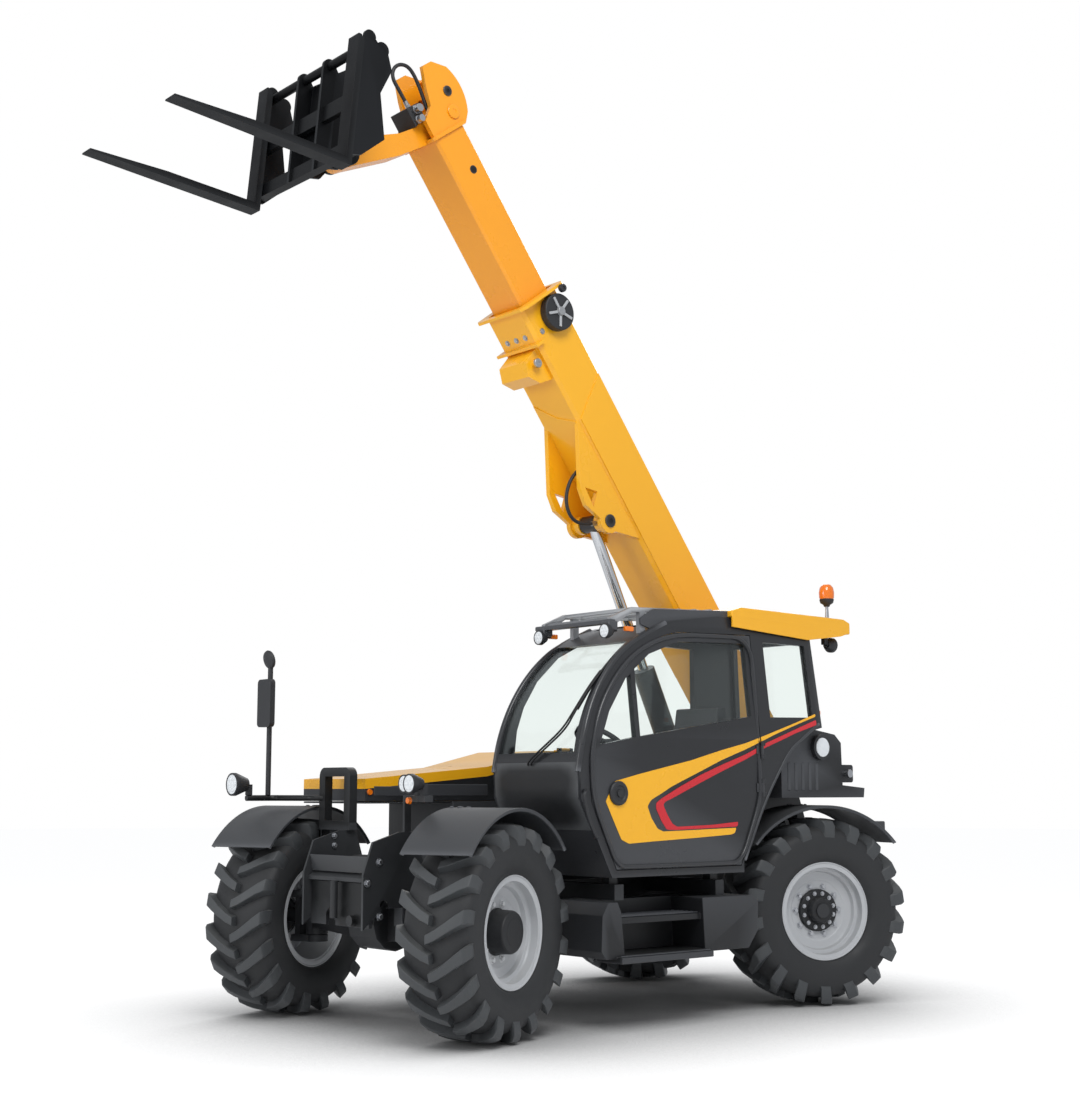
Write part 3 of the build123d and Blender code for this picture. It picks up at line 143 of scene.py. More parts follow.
# Matt white studio floor: seen straight, most of its white is its own, so it meets the sky
# with no horizon, and ambient occlusion darkens that white into a painted shadow where the machine stands close over
# it.
floor_paint, tree = empty_material("matt white studio floor")
path = add(tree, "LightPath")
straight = add(tree, "Math", [(0, path.outputs["Is Camera Ray"]), (1, path.outputs["Is Transmission Ray"])],
               operation="MAXIMUM")
# painted shadow: ambient occlusion dims the floor's own white close under the machine
near = add(tree, "AmbientOcclusion", Distance=1.9, samples=8)
shade = add(tree, "MapRange", [("Value", near.outputs["AO"])], From_Min=0.25, From_Max=0.97, To_Min=0.04,
            To_Max=1.0)
deep = add(tree, "Math", [(0, shade.outputs["Result"])], [(1, 1.6)], operation="POWER")
own_white_and_painted_shadow = add(tree, "Emission", [("Color", deep.outputs[0])], Strength=1.16)
matt = add(tree, "BsdfDiffuse", Color=(0.9, 0.9, 0.9, 1))
mostly = add(tree, "MixShader", [(1, matt.outputs[0]), (2, own_white_and_painted_shadow.outputs[0])], Fac=0.72)
seen = add(tree, "MixShader", [(0, straight.outputs[0]), (1, matt.outputs[0]), (2, mostly.outputs[0])])
add(tree, "OutputMaterial", [(0, seen.outputs[0])])
bm = bmesh.new()
bmesh.ops.create_circle(bm, cap_ends=True, segments=96, radius=60.0)
piece_from(bm, "floor", floor_paint)

# ---------------------------------------------------------------- chassis
# Welded rails, cross plates and belly plate of thick flame-cut steel, with the two nose plates, their
# towing plate and the towers that carry the boom. All of it is sprayed satin black.
axle_middle = 0.545     # the frame's origin stands this far ahead of the middle between the axles


def at(x, y, z):
    """A point whose x is measured from the middle between the axles."""
    return Vector((x - axle_middle, y, z))


def enamel(name, hexa, second, drift_mm, rough, rough_second, orange_peel=0.05, peel_mm=7.0, metallic=0.0, coat=0.0,
           edge=None, dust=None, shine=0.5):
    """A finish whose colour and gloss drift between two values over drift_mm, with an orange peel or a grain
    peel_mm across in its skin. edge is the colour where corners are rubbed, dust what settles on upward faces."""
    material, tree = empty_material(name)
    place = add(tree, "TexCoord")
    cloud = add(tree, "TexNoise", [("Vector", place.outputs["Object"])], Scale=1000.0 / drift_mm, Detail=5.0,
                Roughness=0.62)
    tone = add(tree, "Mix", [("Factor", cloud.outputs["Fac"])], [(6, linear(hexa)), (7, linear(second))],
               data_type="RGBA")
    colour = tone.outputs[2]
    surface = add(tree, "NewGeometry")
    if dust:
        lie = add(tree, "SeparateXYZ", [(0, surface.outputs["Normal"])])
        up = add(tree, "MapRange", [("Value", lie.outputs["Z"])], From_Min=0.5, From_Max=1.0, To_Max=0.55)
        patchy = add(tree, "Math", [(0, up.outputs["Result"]), (1, cloud.outputs["Fac"])], operation="MULTIPLY")
        settled = add(tree, "Mix", [("Factor", patchy.outputs[0]), (6, colour)], [(7, linear(dust))],
                      data_type="RGBA")
        colour = settled.outputs[2]
    if edge:
        corner = add(tree, "MapRange", [("Value", surface.outputs["Pointiness"])], From_Min=0.53, From_Max=0.6,
                     To_Max=0.7)
        rubbed = add(tree, "Mix", [("Factor", corner.outputs["Result"]), (6, colour)], [(7, linear(edge))],
                     data_type="RGBA")
        colour = rubbed.outputs[2]
    gloss = add(tree, "MapRange", [("Value", cloud.outputs["Fac"])], From_Min=0.3, From_Max=0.7, To_Min=rough,
                To_Max=rough_second)
    peel = add(tree, "TexNoise", [("Vector", place.outputs["Object"])], Scale=1000.0 / peel_mm, Detail=2.0)
    skin = add(tree, "Bump", [("Height", peel.outputs["Fac"])], Strength=orange_peel, Distance=0.001)
    clear_coat = [("Coat Weight", coat), ("Coat Roughness", 0.08)] if coat else []
    shader = add(tree, "BsdfPrincipled", [("Base Color", colour), ("Roughness", gloss.outputs["Result"]),
                                          ("Normal", skin.outputs["Normal"])],
                 clear_coat, Metallic=metallic, Specular_IOR_Level=shine)
    add(tree, "OutputMaterial", [(0, shader.outputs[0])])
    return material


def level_faces(piece, sharp=35.0):
    """Shades a piece smooth, but flat faces stay flat beside their rounded corners."""
    bm = bmesh.new()
    bm.from_mesh(piece.data)
    for face in bm.faces:
        face.smooth = True
    for e in bm.edges:
        e.smooth = e.calc_face_angle(0.0) <= radians(sharp)
    bm.to_mesh(piece.data)
    bm.free()
    weighted = piece.modifiers.new("even shading", "WEIGHTED_NORMAL")
    weighted.weight = 80
    weighted.keep_sharp = True


def fit(bm, name, material, body="chassis", sharp=35.0, stands_for=None):
    """Turns a finished bmesh into a piece that rides a body. Edges over the sharp angle stay crisp."""
    made = piece_from(bm, name, material)
    if sharp:
        level_faces(made, sharp)
    if stands_for:
        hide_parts(stands_for)
    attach(made, body)
    return made


def merged_copy(mesh, flat):
    """A mesh with its doubles merged, and its triangles joined where they lie flat within an angle."""
    bm = bmesh.new()
    bm.from_mesh(mesh)
    bmesh.ops.remove_doubles(bm, verts=bm.verts, dist=0.0001)
    bmesh.ops.dissolve_limit(bm, angle_limit=radians(flat), verts=bm.verts, edges=bm.edges, delimit=set())
    return bm


def corners_over(bm, degrees):
    """The edges where two faces meet at more than an angle."""
    return [e for e in bm.edges if e.calc_face_angle(0.0) > radians(degrees)]


def round_edges(bm, edges, width, segments=2, **more):
    """Rounds edges by a width."""
    bmesh.ops.bevel(bm, geom=edges, offset=width, offset_type="OFFSET", segments=segments, profile=0.5,
                    affect="EDGES", material=-1, **more)


def eased(node, material, width=0.004, segments=2, body="chassis"):
    """A merged copy of a CAD piece with its corners rounded by a width. It replaces the piece."""
    bm = merged_copy(frame["nodes"][node].data, 1.2)
    round_edges(bm, corners_over(bm, 28), width, segments, clamp_overlap=True, loop_slide=True)
    return fit(bm, node + "_dressed", material, body, stands_for=node)


# Satin black enamel on steel: dark but not inky, greyer where dust lies and where edges are rubbed.
frame_black = enamel("satin black enamel on steel", "#131415", "#1A1B1C", 420, 0.3, 0.42, edge="#55575A",
                     dust="#333332", shine=0.35)
for node, easing in (("chassis_frame", 0.003), ("nose_crossmember", 0.003), ("boom_towers", 0.003),
                     ("nose_plates", 0.005), ("nose_lip", 0.005)):
    eased(node, frame_black, easing)

# Moulded rubber under the lowered boom: a dull, deep black with a pebbled skin.
rest_pad = enamel("moulded black rubber", "#1C1C1D", "#262627", 80, 0.7, 0.8, 0.3, 4.0)
eased("boom_rest", rest_pad, 0.01)

# Zinc-plated studs and nuts that hold the lamp brackets and the towing plate to the nose plates: bright
# blue-grey metal, cloudy from the plating bath.
zinc = enamel("zinc-plated steel", "#C3C5C8", "#A6A8AC", 40, 0.26, 0.42, 0.1, 3.0, metallic=1.0)


def stand(foot, axis):
    """The place of a shape, drawn up its Z, that stands at a point and faces along axis."""
    return Matrix.Translation(foot) @ Vector(axis).to_track_quat("Z", "Y").to_matrix().to_4x4()


def peg(bm, place, foot, top, length, sides):
    """Adds a peg about a place, up its Z, from its two radii, and returns its corners."""
    return bmesh.ops.create_cone(bm, cap_ends=True, segments=sides, radius1=foot, radius2=top, depth=length,
                                 matrix=place)["verts"]


def hex_bolt(bm, foot, axis, across_flats=0.03, reach=0.016, washer=0.004):
    """Adds a hexagon bolt head on its washer, standing on a surface and facing along axis."""
    place = stand(foot, axis)
    peg(bm, place @ Matrix.Translation((0, 0, washer / 2)), across_flats * 0.86, across_flats * 0.84, washer, 20)
    corner_radius = across_flats * 0.577
    head = peg(bm, place @ Matrix.Translation((0, 0, washer + reach / 2)), corner_radius, corner_radius, reach, 6)
    axis = Vector(axis)
    top = max(head, key=lambda v: (v.co - Vector(foot)).dot(axis)).co
    rim = [e for e in bm.edges if all(v in head and (v.co - top).dot(axis) > -1e-5 for v in e.verts)]
    round_edges(bm, rim, across_flats * 0.07, 1)


plate_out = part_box("nose_plates")[1].y
plate_thick = 0.02
bm = bmesh.new()
for x, z in ((1.841, 1.057), (1.834, 0.722), (1.93, 0.93)):
    hex_bolt(bm, at(x, plate_out, z), (0, 1, 0))
    hex_bolt(bm, at(x, -plate_out, z), (0, -1, 0))
for x, z in ((1.732, 1.205), (1.731, 1.143)):
    hex_bolt(bm, at(x, plate_thick - plate_out, z), (0, 1, 0), 0.024)
fit(bm, "nose_studs", zinc, "chassis", sharp=None)

# ---------------------------------------------------------------- axles and knuckles
# Cast iron axle beams with bolted hub carriers on kingpins, painted black over the sand-cast skin.
# Black paint on cast iron: duller than the frame's enamel and coarse with the grain of the sand mould.
cast_black = enamel("black paint on sand-cast iron", "#1D1E20", "#27282A", 160, 0.46, 0.58, 0.45, 5.0, edge="#5A5C5F",
                    dust="#403F3C", shine=0.35)
for end in ("front", "rear"):
    eased(end + "_axle", cast_black, 0.01)
for corner in ("front_left", "front_right", "rear_left", "rear_right"):
    eased(corner + "_knuckle", cast_black, 0.006, body=corner + "_steer")

# ---------------------------------------------------------------- tyres
# Industrial traction tyres of vulcanised rubber, moulded with eighteen hooked bars on each side of the
# tread. The bars stand proud of a round carcass and run down on to the shoulder.
# Tyre rubber: matt charcoal with a soft sheen and pale dust. The bars are painted a shade lighter as a painted
# highlight, for the light their faces catch.
tyre_rubber = enamel("vulcanised tyre rubber", "#232425", "#303133", 190, 0.52, 0.7, 0.35, 6.0, dust="#4A4946",
                     shine=0.4)
tread_rubber_painted_highlight = enamel("tread rubber lightened as painted highlight", "#37393B", "#45484A", 150, 0.46, 0.64, 0.35, 6.0, dust="#5C5B57",
                      shine=0.5)
bar_count = 18
bar_rows = [
    # across the tread, swept back, half width, top radius, foot across, foot radius
    (-0.012, -0.006, 0.026, 0.6545, -0.012, 0.595),
    (0.05, 0.02, 0.03, 0.6545, 0.05, 0.594),
    (0.115, 0.058, 0.033, 0.6525, 0.115, 0.588),
    (0.178, 0.1, 0.037, 0.647, 0.178, 0.575),
    (0.226, 0.13, 0.042, 0.635, 0.214, 0.558),
    (0.2455, 0.141, 0.043, 0.6, 0.226, 0.535),
    (0.2465, 0.146, 0.04, 0.545, 0.232, 0.505),
]
carcass = [
    # half section from the crown down the sidewall to the bead, then back underneath: across, radius
    (0.0, 0.608), (0.07, 0.606), (0.13, 0.599), (0.18, 0.586), (0.21, 0.57), (0.227, 0.548), (0.237, 0.515),
    (0.243, 0.47), (0.242, 0.43), (0.233, 0.394), (0.216, 0.366), (0.203, 0.352), (0.203, 0.345), (0.193, 0.34),
    (0.19, 0.306), (0.0, 0.306),
]
sweep_radius = 0.63     # the radius that the bars' sweep is measured at
foot_spread = 0.01      # a bar is wider at its foot by this, each side


def mirror_y(bm, verts):
    """Turns a shape over to the machine's other side, with its faces still outwards."""
    bmesh.ops.scale(bm, vec=(1, -1, 1), verts=verts)
    bmesh.ops.reverse_faces(bm, faces=list({f for v in verts for f in v.link_faces}))


def lathe(section, steps=64, closed=True):
    """A body of revolution about Y from its section, as across and radius."""
    bm = bmesh.new()
    loop = [bm.verts.new((0, y, r)) for y, r in section]
    after = loop[1:] + loop[:1] if closed else loop[1:]
    ring = [bm.edges.new(pair) for pair in zip(loop, after)]
    bmesh.ops.spin(bm, geom=loop + ring, cent=(0, 0, 0), axis=(0, 1, 0), angle=tau, steps=steps, use_merge=True)
    bmesh.ops.remove_doubles(bm, verts=bm.verts, dist=0.0002)
    bmesh.ops.recalc_face_normals(bm, faces=bm.faces)
    return bm


def tread_bar():
    """One hooked bar: a strip laid along the rows, joined to a wider foot in the carcass, its top edges rounded."""
    bar = bmesh.new()
    bmesh.ops.create_grid(bar, x_segments=1, y_segments=len(bar_rows) - 1, size=1.0)
    places = {v: (v.co.x, round((v.co.y + 1) / 2 * (len(bar_rows) - 1))) for v in bar.verts}
    top = list(bar.faces)
    foot = bmesh.ops.duplicate(bar, geom=list(bar.verts) + list(bar.edges) + top)
    lower = {copy: places[v] for v, copy in foot["vert_map"].items()
             if v in places and isinstance(copy, bmesh.types.BMVert)}
    for spots, deep in ((places, False), (lower, True)):
        for v, (hand, row) in spots.items():
            across, swept, half_width, radius, foot_across, foot_radius = bar_rows[row]
            if deep:
                across, radius, half_width = foot_across, foot_radius, half_width + foot_spread
            a = (-swept + hand * half_width) / sweep_radius
            v.co = (radius * sin(a), across, radius * cos(a))
    bmesh.ops.bridge_loops(bar, edges=[e for e in bar.edges if e.is_boundary])
    bmesh.ops.recalc_face_normals(bar, faces=bar.faces)
    tops = set(top)
    round_edges(bar, [e for e in corners_over(bar, 35) if any(f in tops for f in e.link_faces)], 0.006)
    # the bars take the second, lighter rubber: a painted highlight
    for face in bar.faces:
        face.material_index = 1
    return mesh_from(bar, "bar")


def tyre_mesh():
    """One tyre about its own centre, its axle along Y."""
    bm = lathe(carcass + [(-y, r) for y, r in reversed(carcass[1:-1])], 72)
    one = tread_bar()
    for hand, stagger in ((1, 0.5), (-1, 0.0)):
        for i in range(bar_count):
            start = len(bm.verts)
            bm.from_mesh(one)
            bm.verts.ensure_lookup_table()
            fresh = bm.verts[start:]
            if hand == -1:
                mirror_y(bm, fresh)
            turn = Matrix.Rotation(tau / bar_count * (i + stagger), 3, "Y")
            bmesh.ops.rotate(bm, cent=(0, 0, 0), matrix=turn, verts=fresh)
    return mesh_from(bm, "tyre")


def spun(point, turn, axis):
    """The place of a shape that is turned about an axis and then set at a point."""
    return Matrix.Translation(point) @ Matrix.Rotation(turn, 4, axis)


def fit_wheel_part(mesh, corner, name, material, body, stands_for=None):
    """Puts a wheel part, drawn for the left side, on one corner, steered as its axle's joint is at rest."""
    axle = next(j for j in frame["joints"] if j["name"] == corner + "_spin")
    place = spun(axle["pos_m"], atan2(-axle["axis"][0], axle["axis"][1]), "Z")
    bm = bmesh.new()
    bm.from_mesh(mesh)
    if corner.endswith("right"):
        mirror_y(bm, bm.verts)
    bmesh.ops.transform(bm, matrix=place, verts=bm.verts)
    return fit(bm, corner + "_" + name, material, body, 40.0, stands_for)


traction = tyre_mesh()
for corner in ("front_left", "front_right", "rear_left", "rear_right"):
    tyre = fit_wheel_part(traction, corner, "traction_tyre", tyre_rubber, corner + "_wheel",
                          corner + "_tyre")
    # second material, on the bars: lighter rubber as a painted highlight
    tyre.data.materials.append(tread_rubber_painted_highlight)

# ---------------------------------------------------------------- rims and hubs
# Pressed steel rims with a stepped well and a dished centre, sprayed silver-grey, bolted to cast hubs:
# a long planetary hub in front and a flat one behind.
# Silver-grey enamel: smooth and even, near white on rubbed edges and brown-grey under road dust.
rim_grey = enamel("silver-grey enamel on pressed steel", "#B9BBBD", "#ADAFB2", 500, 0.3, 0.42, 0.04, 8.0,
                  edge="#D8D9DA", dust="#8C8A85")
rim_section = [
    # across from the middle of the tyre, radius: outer lip, well, dish and back to the inner lip
    (0.202, 0.3425), (0.202, 0.336), (0.194, 0.33), (0.19, 0.318), (0.15, 0.306), (0.132, 0.298), (0.128, 0.276),
    (0.098, 0.268), (0.09, 0.252), (0.09, 0.215), (0.08, 0.2), (0.076, 0.12), (0.06, 0.118), (0.06, 0.27),
    (-0.05, 0.292), (-0.186, 0.292), (-0.186, 0.32), (-0.194, 0.33), (-0.202, 0.336), (-0.202, 0.3425),
    (-0.196, 0.3425), (-0.194, 0.303), (0.194, 0.303), (0.196, 0.3425),
]
bm = lathe(rim_section)
round_edges(bm, corners_over(bm, 32), 0.0025)
rim_mesh = mesh_from(bm, "rim")
hub_sections = {
    # long planetary hub, and flat hub: across, radius
    "front": [(0.06, 0.0), (0.06, 0.142), (0.084, 0.142), (0.088, 0.134), (0.182, 0.13), (0.196, 0.122),
              (0.199, 0.085), (0.203, 0.08), (0.203, 0.0)],
    "rear": [(0.06, 0.0), (0.06, 0.148), (0.1, 0.148), (0.108, 0.142), (0.11, 0.098), (0.15, 0.09), (0.162, 0.08),
             (0.166, 0.0)],
}
# how many, the radius of their circle, and the face they sit on, from the middle of the tyre
nut_count, nut_circle, dish_face = 10, 0.172, 0.0785
screw_count, screw_circle, cover_face = 12, 0.12, 0.109
for end, section in hub_sections.items():
    bm = lathe(section, 48, closed=False)
    round_edges(bm, corners_over(bm, 32), 0.003)
    hub_mesh = mesh_from(bm, end + "_hub")
    # wheel nuts round the hub's flange; the rear hub's cover also has a ring of small screws
    bm = bmesh.new()
    for i in range(nut_count):
        a = tau * i / nut_count
        hex_bolt(bm, (nut_circle * cos(a), dish_face, nut_circle * sin(a)), (0, 1, 0), 0.028)
    for i in range(screw_count if end == "rear" else 0):
        a = tau * (i + 0.5) / screw_count
        hex_bolt(bm, (screw_circle * cos(a), cover_face, screw_circle * sin(a)), (0, 1, 0), 0.018, 0.01, 0.002)
    nut_mesh = mesh_from(bm, end + "_nuts")
    for hand in ("_left", "_right"):
        corner, wheel = end + hand, end + hand + "_wheel"
        fit_wheel_part(rim_mesh, corner, "pressed_rim", rim_grey, wheel, corner + "_rim")
        fit_wheel_part(hub_mesh, corner, "hub", cast_black, wheel)
        fit_wheel_part(nut_mesh, corner, "wheel_nuts", zinc if end == "rear" else rim_grey, wheel)

# ---------------------------------------------------------------- fenders
# Mudguards of black-grey rotomoulded polyethylene, bolted to a post on each knuckle, with a bead rolled along
# both long edges. The fine grained skin spreads the light and whitens where stones have struck the edges.
fender_grey = enamel("rotomoulded grey polyethylene", "#2E3033", "#37393C", 350, 0.42, 0.55, 0.25, 5.0,
                     edge="#6A6C70", dust="#504F4C", shine=0.4)
fender_radius, fender_span = 0.742, 99.2        # metres and degrees
bead_across, bead_under, bead_radius = 0.23712, 0.013, 0.011
for corner in ("front_left", "front_right", "rear_left", "rear_right"):
    eased(corner + "_fender", fender_grey, 0.005, body=corner + "_steer")
    bm = bmesh.new()
    for y in (-bead_across, bead_across):
        start = spun((0, y, fender_radius - bead_under), pi / 2, "Y")
        bead = bmesh.ops.create_circle(bm, segments=10, radius=bead_radius, matrix=start)["verts"]
        bmesh.ops.rotate(bm, cent=(0, 0, 0), matrix=Matrix.Rotation(radians(-fender_span / 2), 3, "Y"), verts=bead)
        seam = list({e for v in bead for e in v.link_edges})
        bmesh.ops.spin(bm, geom=bead + seam, cent=(0, 0, 0), axis=(0, 1, 0), angle=radians(fender_span), steps=28)
    bmesh.ops.holes_fill(bm, edges=[e for e in bm.edges if e.is_boundary])
    bmesh.ops.recalc_face_normals(bm, faces=bm.faces)
    for x in (-0.055, 0.055):
        # bolts over the post, where the arch has dropped a little from its crown
        for y in (-0.215, -0.16):
            hex_bolt(bm, (x, y, fender_radius - x * x / 1.5), (x / fender_radius, 0, 1), 0.022, 0.006, 0.002)
    fit_wheel_part(mesh_from(bm, "bead"), corner, "fender_bead", fender_grey, corner + "_steer")

# ---------------------------------------------------------------- step box
# Fuel tank and tool boxes of folded black sheet under the cab, with open treads let in between them.
# Powder coat: an even satin black with a fine texture, worn grey along the folds.
box_black = enamel("satin black powder coat on folded sheet", "#191A1C", "#222325", 350, 0.36, 0.48, 0.12, 4.0,
                   edge="#54565A", dust="#383836", shine=0.4)
eased("step_box", box_black, 0.008)


def block(bm, middle, size, easing, segments=2):
    """Adds a box about a point with its edges rounded."""
    place = Matrix.Translation(middle) @ Matrix.Diagonal((*size, 1.0))
    corners = bmesh.ops.create_cube(bm, size=1.0, matrix=place)["verts"]
    round_edges(bm, list({e for v in corners for e in v.link_edges}), easing, segments)


bm = bmesh.new()
strips = 6
for tread, x0, x1, y0, y1 in ((0.7, -0.17, 0.57, 0.9, 1.165), (0.46, -0.2, 0.6, 1.02, 1.245)):
    # serrated strips along each tread
    for k in range(strips):
        y = y0 + (y1 - y0) * (k + 0.5) / strips
        block(bm, at((x0 + x1) / 2, y, tread + 0.004), (x1 - x0, 0.012, 0.008), 0.003, 1)
fit(bm, "step_treads", box_black, sharp=None)

# ---------------------------------------------------------------- engine side
# Folded sheet body round the engine with louvred side doors, black, under a hinged hood of yellow-painted
# sheet. The hood's yellow runs down to a fold line, and below it the skin is black.
eased("side_body", box_black, 0.006)
eased("engine_block", cast_black, 0.012)
door_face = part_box("side_body")[0].y
louvre_low, louvre_pitch, louvre_radius, louvre_long = 0.8, 0.036, 0.012, 0.46
bm = bmesh.new()
for k in range(14):
    # pressed louvres in the two outer doors
    for x in (-0.23, 0.31):
        place = spun(at(x, door_face + 0.004, louvre_low + louvre_pitch * k), pi / 2, "Y")
        peg(bm, place, louvre_radius, louvre_radius, louvre_long, 12)
fit(bm, "side_louvres", box_black)


def split(bm, point, normal, **more):
    """Cuts new edges where a plane meets the faces."""
    bmesh.ops.bisect_plane(bm, geom=list(bm.verts) + list(bm.edges) + list(bm.faces), plane_co=point,
                           plane_no=normal, **more)


# Gloss yellow enamel under a thin clear coat: warm and deep, with soft bright reflections and tan dust on top.
boom_yellow = enamel("gloss yellow enamel on steel", "#F6B41C", "#F2AE16", 900, 0.24, 0.34, 0.035, 9.0, coat=0.25,
                     dust="#D9B15A")
hood = eased("engine_hood", boom_yellow, 0.012, body="hood")
hood.data.materials.append(box_black)
bm = bmesh.new()
bm.from_mesh(hood.data)
# the fold follows the hood's top edge, a hand's breadth under it
fold = [(-1.15, 1.722), (-0.1, 1.722), (0.42, 1.602), (1.47, 1.512)]
runs = list(zip(fold, fold[1:]))
for (x0, z0), (x1, z1) in runs:
    split(bm, at(x0, 0, z0), (z0 - z1, 0, x1 - x0), dist=1e-5)
for face in bm.faces:
    spot = face.calc_center_median()
    x = min(max(spot.x + axle_middle, fold[0][0]), fold[-1][0])
    (x0, z0), (x1, z1) = next(run for run in runs if x <= run[1][0])
    if spot.z < z0 + (z1 - z0) * (x - x0) / (x1 - x0) and abs(face.normal.z) < 0.7:
        face.material_index = 1
bm.to_mesh(hood.data)
bm.free()

# Raised panels on the black flank beside the boom.
bm = bmesh.new()
for x0, x1, z0, z1 in ((-1.02, -0.32, 1.475, 1.615), (-0.24, 0.34, 1.475, 1.585), (0.42, 1.0, 1.465, 1.545),
                       (1.06, 1.4, 1.465, 1.53)):
    block(bm, at((x0 + x1) / 2, -0.3615, (z0 + z1) / 2), (x1 - x0, 0.012, z1 - z0), 0.006)
fit(bm, "hood_panels", box_black, "hood")

# ---------------------------------------------------------------- rear end
# Cast counterweight across the tail, and the black body panel behind the cab with ribs pressed in its side
# and the plated pin of its coupling box.
eased("rear_counterweight", cast_black, 0.014)
eased("rear_body", box_black, 0.008)
rib_first, rib_pitch, rib_size = -1.26, 0.075, (0.03, 0.01, 0.2)
bm = bmesh.new()
for k in range(5):
    block(bm, at(rib_first - rib_pitch * k, 1.0, 1.6), rib_size, 0.004, 1)
fit(bm, "rear_ribs", box_black, sharp=None)
bm = bmesh.new()
peg(bm, spun(at(-1.9, 1.0, 1.625), pi / 2, "X"), 0.03, 0.026, 0.07, 32)
round_edges(bm, corners_over(bm, 32), 0.004)
fit(bm, "coupling_pin", zinc, "chassis")

# ---------------------------------------------------------------- cab
# Welded cab of pressed sheet and round tube in charcoal satin enamel, with a curved windscreen, glazed sides
# and a moulded cowl under the screen. The glass is bonded on black seals.
# Charcoal satin enamel: smooth sheet with long soft reflections, pale where its corners are rubbed.
cab_grey = enamel("charcoal satin enamel on sheet steel", "#1E1F21", "#26272A", 600, 0.24, 0.36, 0.05, 8.0, coat=0.1,
                  edge="#626468", dust="#3A3A3A", shine=0.45)
eased("cab_shell", cab_grey, 0.008, 3)

# Clear laminated glass, faintly green at its edge: nearly all light passes, and its skin mirrors the sky.
clear_glass, tree = empty_material("clear laminated glass")
through = add(tree, "BsdfTransparent", Color=linear("#FCFEFD"))
skin = add(tree, "BsdfGlossy", Roughness=0.02, Color=(0.9, 0.95, 0.95, 1))
rise = add(tree, "LayerWeight", Blend=0.15)
share = add(tree, "Math", [(0, rise.outputs["Facing"])], [(1, 0.35)], operation="MULTIPLY")
both = add(tree, "MixShader", [(0, share.outputs[0]), (1, through.outputs[0]), (2, skin.outputs[0])])
add(tree, "OutputMaterial", [(0, both.outputs[0])])

# Extruded seal rubber: dead black with a faint waxy bloom.
seal_rubber = enamel("extruded black seal rubber", "#151516", "#1E1E1F", 60, 0.55, 0.68, 0.1, 3.0)
pane_thick, seal_deep = 0.0068, 0.014
for node, body in (("cab_glass", "chassis"), ("door_glass", "door")):
    # seal strips round the edge of each pane, made from the pane's narrow edge faces
    bm = merged_copy(frame["nodes"][node].data, 2)
    rims = []
    for f in bm.faces:
        sides = [e.calc_length() for e in f.edges]
        if len(sides) == 4 and max(sides) > 0.02 and min(sides) < pane_thick:
            rims.append(f)
    bmesh.ops.delete(bm, geom=[f for f in bm.faces if f not in set(rims)], context="FACES")
    bmesh.ops.solidify(bm, geom=list(bm.faces), thickness=-seal_deep)
    fit(bm, node + "_seals", seal_rubber, body, sharp=None)
    pane = frame["nodes"][node]
    pane.data.materials.clear()
    pane.data.materials.append(clear_glass)

waist, side_out, side_lean = 1.85, 1.15, 0.1176


def side_y(z):
    """The cab's left face: upright to the waist, then leaning in to the roof."""
    return side_out - max(0.0, z - waist) * side_lean


def smooth_line(name, points, radius, closed=False, roundness=4, steps=8):
    """A curve with a round section along a smooth line through control points."""
    line = bpy.data.curves.new(name, "CURVE")
    line.dimensions = "3D"
    line.bevel_depth = radius
    line.bevel_resolution = roundness
    line.resolution_u = steps
    line.use_fill_caps = not closed
    spline = line.splines.new("NURBS")
    spline.points.add(len(points) - 1)
    for spot, point in zip(spline.points, points):
        spot.co = (*point, 1.0)
    spline.use_cyclic_u = closed
    spline.use_endpoint_u = not closed
    spline.order_u = 3
    return line


def tube(points, radius, name, material, body="chassis", closed=False):
    """A round bar along a smooth line through control points, made into a mesh."""
    holder = bpy.data.objects.new(name + "_line", smooth_line(name, points, radius, closed))
    mesh = bpy.data.meshes.new_from_object(holder)
    bpy.data.objects.remove(holder)
    bm = bmesh.new()
    bm.from_mesh(mesh)
    bmesh.ops.remove_doubles(bm, verts=bm.verts, dist=0.0001)
    bmesh.ops.recalc_face_normals(bm, faces=bm.faces)
    fit(bm, name, material, body, 50.0)


# Wiper: two parallel rods from the cowl, with the blade across their ends.
screen_centre = (-0.8333, 1.4883)
screen_radius = 1.174


def screen_x(z, radius=screen_radius):
    """How far forward the windscreen's arc is at a height."""
    return (radius ** 2 - (z - screen_centre[1]) ** 2) ** 0.5


def screen_at(y, z, off):
    """A point off the windscreen's curved face."""
    return (screen_centre[0] + screen_x(z) * (screen_radius + off) / screen_radius, y, z)


rods_apart = 0.034
for k in (0, 1):
    # across, share of the gap between the rods, height, and distance off the glass
    rod = [(0.655, 1, 1.665, 0.012), (0.665, 1, 1.68, 0.035), (0.8, 1, 1.775, 0.035), (0.95, 1, 1.89, 0.033),
           (1.0, 0.5, 2.0, 0.033), (1.035, 0.5, 2.18, 0.03), (1.045, 0.5, 2.275, 0.02)]
    tube([screen_at(y + rods_apart * k * aside, z, off) for y, aside, z, off in rod], 0.0065,
         "wiper_rod_%d" % (k + 1), seal_rubber)
tube([screen_at(*spot) for spot in ((1.01, 2.02, 0.01), (1.035, 2.15, 0.012), (1.05, 2.3, 0.012),
                                    (1.055, 2.38, 0.01))], 0.009, "wiper_blade", seal_rubber)

# Round-section pillars beside the windscreen.
screen_low, screen_high, pillar_arc, pillar_radius = 1.62, 2.62, 1.17, 0.02
heights = [screen_low + (screen_high - screen_low) * k / 8 for k in range(9)]
for name, y0, lean in (("left", 1.133, side_lean), ("right", 0.288, 0.0)):
    tube([(screen_centre[0] + screen_x(z, pillar_arc), y0 - max(0.0, z - waist) * lean, z) for z in heights],
         pillar_radius, "screen_pillar_" + name, cab_grey)

